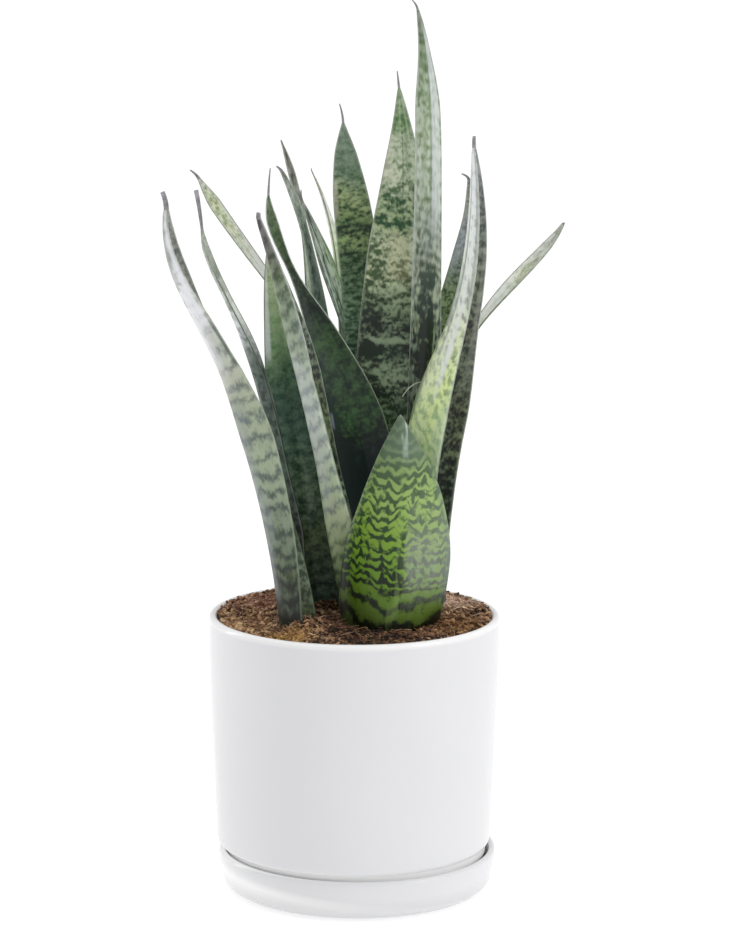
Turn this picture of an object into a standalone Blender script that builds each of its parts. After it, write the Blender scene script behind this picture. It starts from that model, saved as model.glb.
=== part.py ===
"""Snake plant of the zeylanica form: seventeen upright folded blades in soil, in a
round glazed pot that stands in its saucer.

Metres, +Z up. The origin is on the pot's axis at the underside of the saucer. The
blades are seen from -Y, with +X to the right.
"""
import math

import bmesh
import bpy
import numpy as np
from mathutils import Vector

MM = 0.001

# Turned pieces
TURN_STEPS = 48
GAP = 0.3                 # between pieces that touch
POT_LIP_R = 76.0          # a six inch pot
POT_LIP_TOP = 146.0
POT_WALL = 4.4
POT_WALL_R = [(142.0, 76.0), (127.0, 75.85), (100.0, 75.0), (57.0, 73.2), (27.0, 71.8)]
POT_FOOT = [(24.3, 70.5), (22.4, 68.2), (19.5, 66.2), (12.0, 63.4), (6.6, 61.6)]
POT_BASE_R = 59.6
POT_BASE_Z = 4.3
POT_FLOOR_Z = 9.5
DRAIN_R = 7.0
SAUCER_X = 1.8            # the pot stands a little to one side in its saucer
SAUCER_R = 72.9
SAUCER_FLOOR = 4.0
SAUCER_LIP_TOP = 21.3
SAUCER_EDGE_R = 7.6       # round of the underside's edge
SAUCER_FLAT_R = 63.2

# Soil
SOIL_RINGS = [16.0, 32.0, 47.0, 60.0, 68.0]
SOIL_EDGE_Z = 143.9

# Blades
ROOT_Z = 108.0            # where the blades end in the soil
WIDTH_AT = [0.0, 0.12, 0.30, 0.50, 0.70, 0.85, 0.94, 1.0]
BLADE_STEPS = 14
POINT_STEPS = [1.4, 1.8, 2.0]
HALF_STEPS = 3            # facets from the keel to a margin
KEEL_T = 2.2              # thickness at the keel
MARGIN_T = 0.9
POINT_T = 0.8
POCKET_TOP = 158.0

# Every blade: the five control points of its spine, the tip of its firm point, its
# width at WIDTH_AT, the compass direction of its open side from foot to tip, how far
# each half turns up towards the margin, and the width of the point's end.
BLADES = {
    # broad front blade, hollow side to the back
    "leaf_01": dict(spine=[(20, -30, 108), (10, -32, 153), (31, -34, 191), (23, -38, 223), (23, -42, 257)],
                    tip=(23, -42, 258), width=[32, 52, 71, 65, 48, 28, 12.5, 1.8],
                    face=[90, 90, 89, 88], fold=[80, 48, 36], end=0.9),
    # front left blade, half rolled, seen into its hollow
    "leaf_02": dict(spine=[(-28, -32, 108), (-29, -34, 214), (-67, -35, 310), (-94, -36, 311), (-95, -38, 361)],
                    tip=(-97, -38, 370), width=[34, 40.5, 40, 40.5, 20, 19, 12, 3.4],
                    face=[-31, 2, 28, -28], fold=[86, 57, 73], end=2.8),
    # middle front blade, half rolled
    "leaf_03": dict(spine=[(-5, -6, 108), (15, -8, 152), (-19, -12, 196), (-8, -18, 244), (-49, -22, 355)],
                    tip=(-49, -22, 358), width=[30, 36, 38.5, 29, 29, 18.5, 8.5, 3.6],
                    face=[-3, 4, -9, 12], fold=[85, 64, 68], end=3.0),
    # right front blade, half rolled and leaning right
    "leaf_04": dict(spine=[(37, -8, 108), (31, -8, 246), (37, -8, 272), (69, -9, 291), (60, -8, 390)],
                    tip=(60, -8, 396), width=[19.5, 35.5, 51.5, 61, 32, 21, 11.5, 2.8],
                    face=[-12, -21, -20, -16], fold=[84, 82, 65], end=2.2),
    # dark blade that crosses behind the middle
    "leaf_05": dict(spine=[(13, 8, 108), (14, 12, 196), (12, 15, 273), (-46, 14, 323), (-45, 6, 364)],
                    tip=(-44, 6, 378), width=[21.5, 29, 34.5, 32.5, 16.5, 4, 6, 1.8],
                    face=[-80, -79, -77, -74], fold=[52, 30, 30], end=0.9),
    # left dark blade
    "leaf_06": dict(spine=[(-24, 2, 108), (-43, 3, 205), (-28, 2, 278), (-75, 2, 308), (-79, 0, 347)],
                    tip=(-82, 0, 367), width=[21, 30, 35.5, 18.5, 14.5, 6, 5.5, 1.6],
                    face=[-14, 10, -2, -39], fold=[82, 71, 61], end=2.8),
    # tallest blade, seen on its edge
    "leaf_07": dict(spine=[(34, 14, 108), (38, 13, 213), (32, 12, 314), (44, 8, 402), (31, 4, 459)],
                    tip=(28, 4, 464), width=[18, 21, 21.5, 17.5, 15, 13.5, 6, 1.8],
                    face=[90, 91, 93, 96], fold=[70, 35, 30], end=0.9),
    # left rear blade
    "leaf_08": dict(spine=[(-14, 22, 108), (-21, 23, 164), (-27, 23, 220), (-36, 23, 276), (-46, 24, 332)],
                    tip=(-45, 24, 335), width=[19, 25.5, 31, 30.5, 26.5, 16.5, 8.5, 1.8],
                    face=[-75, -77, -79, -80], fold=[65, 35, 25], end=0.9),
    # broad rear blade, right of the middle
    "leaf_09": dict(spine=[(18, 24, 108), (18, 24, 188), (15, 25, 266), (30, 28, 342), (22, 32, 417)],
                    tip=(21, 32, 426), width=[16, 26, 35.5, 42, 36.5, 22, 9.5, 1.8],
                    face=[-90, -91, -93, -95], fold=[65, 25, 20], end=0.9),
    # thin twisted blade that leans out at the right
    "leaf_10": dict(spine=[(43, 24, 108), (56, 26, 201), (5, 30, 274), (88, 33, 310), (108, 36, 346)],
                    tip=(109, 36, 347), width=[13, 14.5, 14, 10.5, 4.5, 7.5, 6, 1.8],
                    face=[-150, -143, -137, -130], fold=[70, 45, 35], end=0.9),
    # rear blade in the middle
    "leaf_11": dict(spine=[(2, 34, 108), (-3, 35, 191), (24, 36, 267), (-4, 39, 333), (-7, 44, 398)],
                    tip=(-9, 44, 408), width=[17.5, 25, 30, 28, 23, 19.5, 12, 1.8],
                    face=[-90, -89, -87, -86], fold=[65, 25, 20], end=0.9),
    # rear right blade
    "leaf_12": dict(spine=[(31, 40, 108), (25, 41, 177), (32, 40, 244), (60, 40, 307), (59, 40, 368)],
                    tip=(55, 40, 372), width=[15, 20.5, 24.5, 24.5, 19, 11, 4, 1.8],
                    face=[-100], fold=[60, 35, 25], end=0.9),
    # two narrow rear blades close together
    "leaf_13": dict(spine=[(-16, 41, 108), (-6, 42, 184), (-17, 44, 258), (-14, 44, 326), (-39, 46, 372)],
                    tip=(-42, 46, 375), width=[15, 17.5, 18, 15, 9, 4.5, 4, 1.8],
                    face=[-60, -61, -63, -64], fold=[70, 40, 30], end=0.9),
    "leaf_14": dict(spine=[(15, 47, 108), (20, 48, 170), (12, 50, 232), (-2, 50, 295), (-28, 52, 355)],
                    tip=(-29, 52, 362), width=[15, 17.5, 17.5, 13, 5.5, 8.5, 4.5, 1.8],
                    face=[-80], fold=[70, 40, 30], end=0.9),
    # narrow rear left blade
    "leaf_15": dict(spine=[(-22, 50, 108), (-16, 54, 179), (-21, 58, 249), (-16, 62, 318), (-39, 66, 384)],
                    tip=(-40, 66, 387), width=[14.5, 16.5, 17.5, 16, 10.5, 4, 4, 1.8],
                    face=[-60], fold=[70, 45, 35], end=0.9),
    # narrow rear blade that turns its flat side outward
    "leaf_16": dict(spine=[(-3, 51, 108), (0, 56, 182), (-9, 60, 252), (3, 63, 316), (-23, 66, 369)],
                    tip=(-24, 66, 372), width=[14.5, 16, 17.5, 18, 17.5, 10.5, 4, 1.8],
                    face=[-60, -47, -30, -10], fold=[60, 40, 25], end=0.9),
    # twisted rear blade that leans far left
    "leaf_17": dict(spine=[(13, 60, 108), (-8, 66, 177), (31, 72, 241), (-46, 77, 300), (-84, 84, 364)],
                    tip=(-89, 84, 369), width=[15, 16.5, 15.5, 11, 4, 6.5, 7, 1.8],
                    face=[-40, -50, -60, -70], fold=[70, 45, 30], end=0.9),
}

# Colours (linear), roughness
GLAZE = ((0.80, 0.80, 0.80, 1.0), 0.12)
SOIL = ((0.085, 0.045, 0.026, 1.0), 0.95)
GREEN = ((0.10, 0.16, 0.055, 1.0), 0.42)
DARK_GREEN = ((0.035, 0.06, 0.035, 1.0), 0.42)
DARK_BLADES = ("leaf_05", "leaf_06", "leaf_13", "leaf_14", "leaf_15")


def clear_scene():
    for obj in list(bpy.data.objects):
        bpy.data.objects.remove(obj, do_unlink=True)


def collection(name):
    found = bpy.data.collections.get(name)
    if found is None:
        found = bpy.data.collections.new(name)
    if found.name not in bpy.context.scene.collection.children:
        bpy.context.scene.collection.children.link(found)
    return found


def material(name, look):
    colour, roughness = look
    made = bpy.data.materials.new(name)
    made.use_nodes = True
    shader = made.node_tree.nodes["Principled BSDF"]
    shader.inputs["Base Color"].default_value = colour
    shader.inputs["Roughness"].default_value = roughness
    shader.inputs["Metallic"].default_value = 0.0
    made.diffuse_color = colour
    return made


def add_object(name, mesh, home, place=(0.0, 0.0, 0.0), parent=None):
    obj = bpy.data.objects.new(name, mesh)
    home.objects.link(obj)
    obj.location = place
    obj.parent = parent
    return obj


def shade(mesh, angle=40.0):
    mesh.shade_smooth()
    mesh.set_sharp_from_angle(angle=math.radians(angle))


# Turned pieces

def arc(centre, radius, start, end, steps):
    """Points (z, r) of a round stretch; degrees from straight out, up is positive."""
    points = []
    for i in range(steps + 1):
        a = math.radians(start + (end - start) * i / steps)
        points.append((centre[0] + radius * math.sin(a), centre[1] + radius * math.cos(a)))
    return points


def turned(name, outline, closed, home, x=0.0, parent=None):
    """A solid of revolution: outline holds (z, r) in mm, down the outer side."""
    mesh = bpy.data.meshes.new(name)
    points = [(r * MM, 0.0, z * MM) for z, r in outline]
    edges = [(i, i + 1) for i in range(len(points) - 1)]
    if closed:
        edges.append((len(points) - 1, 0))
    mesh.from_pydata(points, edges, [])
    obj = add_object(name, mesh, home, (x * MM, 0.0, 0.0), parent)
    screw = obj.modifiers.new("Turn", "SCREW")
    screw.angle = 2 * math.pi
    screw.steps = TURN_STEPS
    screw.render_steps = TURN_STEPS
    screw.use_merge_vertices = True
    screw.merge_threshold = 0.00001
    screw.use_smooth_shade = True
    return obj


def pot_outline():
    lip = POT_WALL / 2
    points = arc((POT_LIP_TOP - lip, POT_LIP_R - lip), lip, 180, 0, 6)
    points += POT_WALL_R + POT_FOOT
    points += [(POT_BASE_Z, POT_BASE_R), (POT_BASE_Z, DRAIN_R), (POT_FLOOR_Z, DRAIN_R)]
    return points + list(reversed(pot_inside()))


def pot_inside(inset=0.0):
    """The pot's inner side from the lip down, and in to the floor's edge."""
    wall = [(z, r - POT_WALL) for z, r in POT_WALL_R[1:]]
    wall += [(21.0, 63.0), (12.5, 58.8), (POT_FLOOR_Z, 55.0)]
    inner = [(z, r - inset) for z, r in wall]
    inner[-1] = (POT_FLOOR_Z + inset, inner[-1][1])
    return inner


def saucer_outline():
    lip = 1.7
    middle = (SAUCER_LIP_TOP - lip, SAUCER_R - 1.8)
    points = [(SAUCER_FLOOR, 0.0), (SAUCER_FLOOR, 61.6), (5.4, 65.4), (9.0, 67.6), (14.0, 68.7)]
    points += arc(middle, lip, 180, 15, 5)
    points += [(17.0, SAUCER_R), (12.3, 71.9)]
    points += arc((SAUCER_EDGE_R, SAUCER_FLAT_R), SAUCER_EDGE_R, -10, -90, 4)
    return points + [(0.0, 0.0)]


def soil_outline():
    top = [(SOIL_EDGE_Z, r) for r in [0.0] + SOIL_RINGS]
    side = [(SOIL_EDGE_Z, POT_LIP_R - POT_WALL - GAP)] + pot_inside(GAP)
    return top + side + [(POT_FLOOR_Z + GAP, 0.0)]


def soil_height(x, y):
    """How far the loose surface stands over the edge's level, mm."""
    r = math.hypot(x, y)
    heap = 1.6 * (1.0 - (r / 71.0) ** 2)
    back = 1.3 * max(0.0, y / 71.0) ** 0.7 if y > 0 else 0.0
    lumps = 0.5 * math.sin(x / 9.0 + 1.3) * math.cos(y / 11.0) + 0.4 * math.sin((x - y) / 6.5)
    return heap + back + lumps * min(1.0, (72.0 - r) / 8.0)


# Blades

def bezier(points, t):
    row = [Vector(p) for p in points]
    while len(row) > 1:
        row = [row[i].lerp(row[i + 1], t) for i in range(len(row) - 1)]
    return row[0]


def even_parameters(points, stations):
    """The Bezier parameters that divide the spine at these fractions of its length."""
    fine = np.linspace(0.0, 1.0, 201)
    line = np.array([bezier(points, t) for t in fine])
    length = np.concatenate([[0.0], np.cumsum(np.linalg.norm(np.diff(line, axis=0), axis=1))])
    return np.interp(np.array(stations) * length[-1], length, fine)


def monotone(x, xs, ys):
    """Smooth curve through the points that never swings past them (Fritsch-Carlson)."""
    gaps = [b - a for a, b in zip(xs, xs[1:])]
    slopes = [(ys[i + 1] - ys[i]) / gaps[i] for i in range(len(gaps))]
    turns = [slopes[0]]
    for i in range(1, len(slopes)):
        if slopes[i - 1] * slopes[i] <= 0:
            turns.append(0.0)
        else:
            a = 2 * gaps[i] + gaps[i - 1]
            b = gaps[i] + 2 * gaps[i - 1]
            turns.append((a + b) / (a / slopes[i - 1] + b / slopes[i]))
    turns.append(slopes[-1])
    k = max(i for i in range(len(gaps)) if x >= xs[i])
    t = (x - xs[k]) / gaps[k]
    rise = ys[k] * (1 + 2 * t) * (1 - t) ** 2 + ys[k + 1] * t * t * (3 - 2 * t)
    return rise + gaps[k] * (turns[k] * t * (1 - t) ** 2 + turns[k + 1] * t * t * (t - 1))


def blend(x, values):
    """Straight blend of evenly spaced values, x from 0 to 1."""
    return float(np.interp(x, np.linspace(0.0, 1.0, len(values)), values))


def spine_point(blade, s):
    """Centre line: s from 0 to 1 is the blade, from 1 to 2 its firm point."""
    if s <= 1.0:
        return bezier(blade["spine"], blade["even"](s))
    neck = Vector(blade["spine"][-1])
    tip = Vector(blade["tip"])
    along = (neck - Vector(blade["spine"][-2])).normalized()
    middle = neck + along * (tip - neck).length * 0.5
    v = s - 1.0
    return neck * (1 - v) ** 2 + middle * 2 * v * (1 - v) + tip * v * v


def section(blade, s, grow):
    """Points (across, out) round one section, from the outer left margin."""
    if s <= 1.0:
        width = monotone(s, WIDTH_AT, blade["width"])
    else:
        width = blend(s - 1.0, [blade["width"][-1], blade["end"]])
    half = width / 2
    thick = min(KEEL_T, max(0.9 * half, POINT_T))
    margin = min(MARGIN_T, thick)
    turn = math.radians(blend(min(s, 1.0), blade["fold"]))
    fine = 8 * HALF_STEPS
    across = [0.0]
    depth = [0.0]
    for i in range(fine):
        a = turn * math.sqrt(i / fine)
        b = turn * math.sqrt((i + 1) / fine)
        across.append(across[-1] + half * (math.cos(a) + math.cos(b)) / 2 / fine)
        depth.append(depth[-1] + half * (math.sin(a) + math.sin(b)) / 2 / fine)
    outer = []
    inner = []
    for side in (-1, 1):
        steps = range(HALF_STEPS, 0, -1) if side < 0 else range(HALF_STEPS + 1)
        for i in steps:
            t = i / HALF_STEPS
            a = side * turn * math.sqrt(t)
            tau = (margin + (thick - margin) * (1 - t * t)) / 2 + grow
            past = grow if i == HALF_STEPS else 0.0
            x = side * (across[8 * i] + past * math.cos(a))
            y = depth[8 * i] - depth[-1] / 2 + past * math.sin(abs(a))
            outer.append((x + math.sin(a) * tau, y - math.cos(a) * tau))
            inner.append((x - math.sin(a) * tau, y + math.cos(a) * tau))
    return outer + inner[::-1]


def ring(blade, s, grow=0.0, lower=0.0):
    """One section of a blade in space, mm."""
    step = 0.002
    before = spine_point(blade, max(0.0, s - step))
    after = spine_point(blade, min(2.0, s + step))
    along = (after - before).normalized()
    angle = math.radians(blend(min(s, 1.0), blade["face"]))
    face = Vector((math.cos(angle), math.sin(angle), 0.0))
    face = (face - along * face.dot(along)).normalized()
    across = along.cross(face)
    centre = spine_point(blade, s) - along * lower
    return [centre + across * x + face * y for x, y in section(blade, s, grow)]


def loft(name, rings, origin):
    """Skin over the rings, closed at both ends, with faces outward."""
    bm = bmesh.new()
    rows = [[bm.verts.new((p - origin) * MM) for p in points] for points in rings]
    count = len(rows[0])
    for low, high in zip(rows, rows[1:]):
        for i in range(count):
            j = (i + 1) % count
            bm.faces.new((low[i], low[j], high[j]))
            bm.faces.new((low[i], high[j], high[i]))
    for row in (rows[0], rows[-1]):
        for i in range(count // 2 - 1):
            bm.faces.new((row[i], row[count - 1 - i], row[count - 2 - i], row[i + 1]))
    bmesh.ops.triangulate(bm, faces=[f for f in bm.faces if len(f.verts) > 3])
    bmesh.ops.recalc_face_normals(bm, faces=bm.faces)
    mesh = bpy.data.meshes.new(name)
    bm.to_mesh(mesh)
    bm.free()
    shade(mesh, 60.0)
    return mesh


def blade_stations():
    blade = [i / BLADE_STEPS for i in range(BLADE_STEPS)]
    return blade + [0.97, 1.0] + POINT_STEPS


def prepare(blade):
    fine = [i / 100 for i in range(101)]
    parameters = even_parameters(blade["spine"], fine)
    blade["even"] = lambda s: float(np.interp(s, fine, parameters))


def add_blade(name, blade, home, parent, looks):
    foot = Vector(blade["spine"][0])
    rings = [ring(blade, s) for s in blade_stations()]
    mesh = loft(name, rings, foot)
    mesh.materials.append(looks)
    return add_object(name, mesh, home, foot * MM, parent)


def add_pocket(name, blade, home, parent):
    """The cutter that leaves a plain hole round the buried foot of a blade."""
    foot = Vector(blade["spine"][0])
    rings = [ring(blade, 0.0, GAP, GAP)]
    for s in blade_stations()[1:]:
        rings.append(ring(blade, s, GAP))
        if spine_point(blade, s).z > POCKET_TOP:
            break
    obj = add_object("pocket_" + name, loft("pocket_" + name, rings, foot), home, foot * MM, parent)
    obj.hide_render = True
    obj.display_type = "WIRE"
    return obj


def add_soil(home, parent, pockets):
    """The turned body, its loose uneven top, and a pocket for every blade."""
    blank = turned("soil_blank", soil_outline(), False, home)
    depsgraph = bpy.context.evaluated_depsgraph_get()
    mesh = bpy.data.meshes.new_from_object(blank.evaluated_get(depsgraph))
    mesh.name = "soil"
    bpy.data.objects.remove(blank, do_unlink=True)
    for vertex in mesh.vertices:
        if vertex.co.z > (SOIL_EDGE_Z - 0.05) * MM:
            vertex.co.z += soil_height(vertex.co.x / MM, vertex.co.y / MM) * MM
    shade(mesh)
    soil = add_object("soil", mesh, home, parent=parent)
    for pocket in pockets:
        cut = soil.modifiers.new("Pocket", "BOOLEAN")
        cut.operation = "DIFFERENCE"
        cut.solver = "EXACT"
        cut.object = pocket
    return soil


def main():
    clear_scene()
    plant = collection("snake_plant")
    cutters = collection("cutters")
    root = add_object("plant_axis", None, plant)

    glaze = material("white glaze", GLAZE)
    earth = material("potting soil", SOIL)
    green = material("banded leaf", GREEN)
    dark = material("dark leaf", DARK_GREEN)

    pot = turned("pot", pot_outline(), True, plant, parent=root)
    pot.data.materials.append(glaze)
    saucer = turned("saucer", saucer_outline(), False, plant, SAUCER_X, root)
    saucer.data.materials.append(glaze)

    pockets = []
    for name, blade in BLADES.items():
        prepare(blade)
        add_blade(name, blade, plant, root, dark if name in DARK_BLADES else green)
        pockets.append(add_pocket(name, blade, cutters, root))

    soil = add_soil(plant, root, pockets)
    soil.data.materials.append(earth)


main()
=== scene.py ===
# %% [markdown]
# # A zeylanica snake plant in a white glazed pot
#
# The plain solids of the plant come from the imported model. This lesson gives them the
# surfaces of the real thing: waxy banded blades, loose potting soil and a gloss glaze.
# Every shape is worked out in millimetres and only turned to metres when a mesh is made.

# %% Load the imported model
import math

import bmesh
import bpy
import numpy as np
from mathutils import Euler, Matrix, Vector, noise


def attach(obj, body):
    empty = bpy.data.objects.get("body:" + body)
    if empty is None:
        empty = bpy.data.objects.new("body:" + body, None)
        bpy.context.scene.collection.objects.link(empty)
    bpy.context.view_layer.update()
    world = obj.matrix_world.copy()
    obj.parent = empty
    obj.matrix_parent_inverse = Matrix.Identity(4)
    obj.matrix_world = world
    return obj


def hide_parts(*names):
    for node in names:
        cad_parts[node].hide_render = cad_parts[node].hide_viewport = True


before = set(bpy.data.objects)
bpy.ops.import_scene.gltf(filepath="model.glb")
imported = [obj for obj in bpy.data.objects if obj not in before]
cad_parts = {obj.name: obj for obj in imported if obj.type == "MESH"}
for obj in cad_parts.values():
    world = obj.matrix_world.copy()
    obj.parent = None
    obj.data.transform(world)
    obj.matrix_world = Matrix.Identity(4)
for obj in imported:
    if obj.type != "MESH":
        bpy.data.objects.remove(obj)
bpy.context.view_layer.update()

MM = 0.001

# %% [markdown]
# ## The camera
#
# The photograph was taken from almost two metres away with a long lens, a little above
# the plant and looking slightly down. The lens is found from the pot: the ellipse of its
# lip gives the height of the eye, and how much the wall narrows gives the distance.
# The picture leans a quarter of a degree, so the camera leans with it.

# %% Camera
def placed(name, data):
    """A new object with this data, unturned at the origin, in the scene."""
    made = bpy.data.objects.new(name, data)
    bpy.context.scene.collection.objects.link(made)
    return made


PHOTO_SIZE = (730, 935)
EYE = (0.00519, -1.837, 0.558)     # metres
LOOKS_DOWN, LEANS = 10.33, 0.243   # degrees
FOCAL_PIXELS = 3600
SENSOR = 36.0

camera_data = bpy.data.cameras.new("camera")
camera_data.sensor_width = SENSOR
camera_data.lens = SENSOR * FOCAL_PIXELS / max(PHOTO_SIZE)
camera_data.dof.use_dof = False
camera_data.clip_end = 50.0
camera = placed("camera", camera_data)
turn = Euler((math.radians(90.0 - LOOKS_DOWN), 0.0, 0.0)).to_matrix()
lean = Matrix.Rotation(math.radians(LEANS), 3, "Z")
camera.matrix_world = Matrix.Translation(EYE) @ (turn @ lean).to_4x4()
bpy.context.scene.camera = camera
print("lens, mm:", round(camera_data.lens, 1))

# %% [markdown]
# ## Colours and nodes
#
# A colour is written as the hex value that a screen shows, and one function turns it to
# the linear light that Blender mixes. One more function adds a node with its settings
# and its links, so that each material below reads as a list of what it is made of.
# Where the node is a colour ramp, its stops are given there too.

# %% Helpers for colours and nodes
def linear(hex_value):
    """The linear colour of an sRGB hex value such as 7c9a4e."""
    parts = [int(hex_value[i:i + 2], 16) / 255 for i in (0, 2, 4)]
    light = [c / 12.92 if c <= 0.04045 else ((c + 0.055) / 1.055) ** 2.4 for c in parts]
    return (*light, 1.0)


def put(tree, kind, links=None, out=0, stops=(), **settings):
    """Add a node, set it and its stops, set or link inputs by name or number, give one output."""
    made = tree.nodes.new(kind)
    for name, value in settings.items():
        setattr(made, name, value)
    for number, (place, colour) in enumerate(stops):
        elements = made.color_ramp.elements
        if number == 0:
            elements.remove(elements[-1])
        stop = elements.new(place) if number else elements[0]
        stop.position, stop.color = place, colour
    for key, value in (links or {}).items():
        if isinstance(value, bpy.types.NodeSocket):
            tree.links.new(value, made.inputs[key])
        else:
            made.inputs[key].default_value = value
    return made.outputs[out] if made.outputs else made


def new_material(name):
    """An empty node material and its tree."""
    made = bpy.data.materials.new(name)
    made.use_nodes = True
    made.node_tree.nodes.clear()
    return made, made.node_tree


# %% [markdown]
# ## Studio light
#
# The photograph has a pure white ground and soft light from all round, a little stronger
# from the right. So the world is a white dome that is brightest overhead and a little
# dimmer where the photographer stands. A tall softbox stands at the right, and a narrow
# one behind on the left gives the pot its bright edge.

# %% World
DOME, MORE_OVERHEAD, MORE_BEHIND, MORE_AT_RIGHT = 0.50, 0.55, 0.16, 0.06

world = bpy.data.worlds.new("white dome")
bpy.context.scene.world = world
world.use_nodes = True
sky = world.node_tree
sky.nodes.clear()
facing = put(sky, "ShaderNodeTexCoord", out="Generated")
apart = put(sky, "ShaderNodeSeparateXYZ", {0: facing}).node
to_back = put(sky, "ShaderNodeMath", {0: apart.outputs["Y"], 1: MORE_BEHIND, 2: DOME},
              operation="MULTIPLY_ADD")
to_right = put(sky, "ShaderNodeMath", {0: apart.outputs["X"], 1: MORE_AT_RIGHT, 2: to_back},
               operation="MULTIPLY_ADD")
overhead = put(sky, "ShaderNodeMapRange", {"Value": apart.outputs["Z"], "To Max": MORE_OVERHEAD},
               interpolation_type="SMOOTHERSTEP")
to_top = put(sky, "ShaderNodeMath", {0: overhead, 1: to_right})
glow = put(sky, "ShaderNodeBackground", {"Color": (1.0, 1.0, 1.0, 1.0), "Strength": to_top})
put(sky, "ShaderNodeOutputWorld", {"Surface": glow})
bpy.context.scene.view_settings.view_transform = "Standard"
print("dome, from eye level to overhead:", DOME, "to", DOME + MORE_OVERHEAD)

# %% Softboxes
SOFTBOXES = {
    # name: centre, what it faces, size in metres, watts
    "right softbox": ((1.6, -0.9, 0.9), (0.0, 0.0, 0.25), (0.9, 1.6), 8),
    "left strip": ((-1.5, 0.6, 0.5), (0.0, 0.0, 0.2), (0.3, 1.4), 5),
}
for name, (place, aim, size, watts) in SOFTBOXES.items():
    lamp = bpy.data.lights.new(name, "AREA")
    lamp.shape = "RECTANGLE"
    lamp.size, lamp.size_y = size
    lamp.energy = watts
    box = placed(name, lamp)
    box.location = place
    box.rotation_mode = "QUATERNION"
    box.rotation_quaternion = (Vector(aim) - Vector(place)).to_track_quat("-Z", "Y")
print("lights:", len(SOFTBOXES))

# %% [markdown]
# The ground of such a photograph is a light table: a milky sheet lit from below, so that
# the shadows all but vanish. More than half of the floor's light is its own glow here, and
# the rest is what falls on it.

# %% Light table
FLOOR_REACH = 12.0
FLOOR_GAP = 0.4 * MM
FLOOR_GLOW = 0.60

floor_mesh = bpy.data.meshes.new("floor")
floor_corners = [(x * FLOOR_REACH, y * FLOOR_REACH, 0.0) for x, y in ((-1, -1), (1, -1), (1, 1), (-1, 1))]
floor_mesh.from_pydata(floor_corners, [], [(0, 1, 2, 3)])
floor = placed("floor", floor_mesh)
floor.location.z = -FLOOR_GAP
paper, tree = new_material("milky light table")
shader = put(tree, "ShaderNodeBsdfPrincipled", {
    "Base Color": linear("bcbcbc"), "Roughness": 0.9, "Emission Color": (1.0, 1.0, 1.0, 1.0),
    "Emission Strength": FLOOR_GLOW})
put(tree, "ShaderNodeOutputMaterial", {"Surface": shader})
floor_mesh.materials.append(paper)
print("floor, m across:", 2 * FLOOR_REACH)

# %% [markdown]
# ## Turning the pot and the saucer
#
# A pot is thrown or jiggered on a wheel, so half of its outline says all of its shape.
# The outline is drawn in millimetres and the Screw modifier turns it. The lip and the
# foot are arcs, because a glaze never leaves a sharp edge.

# %% Outline tools
SEAM_WELD = 0.01 * MM


def arc(centre, radius, start, end, steps):
    """Points (r, z) of a round stretch; degrees from straight out, up is positive."""
    angles = np.radians(np.linspace(start, end, steps + 1))
    return [(centre[0] + radius * math.cos(a), centre[1] + radius * math.sin(a)) for a in angles]


def smooth_run(points, steps):
    """A smooth curve through (r, z) points."""
    points = np.array(points, float)
    rows = np.vstack([2 * points[0] - points[1], points, 2 * points[-1] - points[-2]])
    out = []
    for i in range(1, len(rows) - 2):
        a, b, c, d = rows[i - 1:i + 3]
        for t in np.linspace(0, 1, steps, endpoint=False):
            out.append(0.5 * (2 * b + (c - a) * t + (2 * a - 5 * b + 4 * c - d) * t ** 2
                              + (3 * b - a - 3 * c + d) * t ** 3))
    return [tuple(p) for p in out] + [tuple(points[-1])]


def plain_result(holder, name):
    """The plain mesh of an object with its modifiers; the object itself is removed."""
    made = bpy.data.meshes.new_from_object(holder.evaluated_get(bpy.context.evaluated_depsgraph_get()))
    bpy.data.objects.remove(holder)
    made.name = name
    return made


def turned_piece(name, outline, closed, centre_x=0.0, steps=192):
    """Turn an outline with Screw and keep the plain mesh, its place in its points."""
    mesh = bpy.data.meshes.new(name)
    edges = [(i, i + 1) for i in range(len(outline) - 1)]
    if closed:
        edges.append((len(outline) - 1, 0))
    mesh.from_pydata([(r * MM, 0.0, z * MM) for r, z in outline], edges, [])
    blank = placed(name + "_blank", mesh)
    screw = blank.modifiers.new("Turn", "SCREW")
    screw.steps = screw.render_steps = steps
    screw.use_merge_vertices = True
    screw.merge_threshold = SEAM_WELD
    made = plain_result(blank, name)
    made.transform(Matrix.Translation((centre_x * MM, 0.0, 0.0)))
    work = bmesh.new()
    work.from_mesh(made)
    bmesh.ops.remove_doubles(work, verts=work.verts, dist=SEAM_WELD / 2)
    bmesh.ops.recalc_face_normals(work, faces=work.faces)
    work.to_mesh(made)
    work.free()
    made.shade_smooth()
    print(name, len(made.polygons), "faces")
    return placed(name, made)


# %% Pot
POT_WALL = 4.4
FOOT_OFF_CENTRE, FOOT_FROM_Z, FOOT_EASE = 1.2, 24.5, 4.0

pot_side = [(76.0, 142.0), (75.85, 127.0), (75.0, 100.0), (73.2, 57.0), (71.8, 27.0)]
pot_foot = [(71.8, 27.0), (71.3, 25.2), (70.2, 24.1), (69.1, 23.2), (68.5, 21.4), (67.8, 18.0),
            (63.6, 11.0), (61.6, 6.6)]
pot_outline = arc((73.8, 143.8), 2.2, 180, 0, 18)  # the lip
pot_outline += smooth_run(pot_side, 10)[:-1] + smooth_run(pot_foot, 5)
pot_outline += arc((60.2, 5.7), 1.4, -30, -90, 4)  # the edge that it stands on
pot_outline += [(7.5, 4.3), (7.0, 4.8), (7.0, 9.1), (7.5, 9.5), (54.0, 9.5)]  # drain hole and floor
pot_outline += [(57.4, 10.8), (60.5, 15.0), (63.8, 22.0), (67.4, 27.0)]  # inside of the foot
pot_outline += smooth_run([(r - POT_WALL, z) for r, z in reversed(pot_side[:-1])], 6)
pot = turned_piece("pot_glazed", pot_outline, closed=True)
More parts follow.
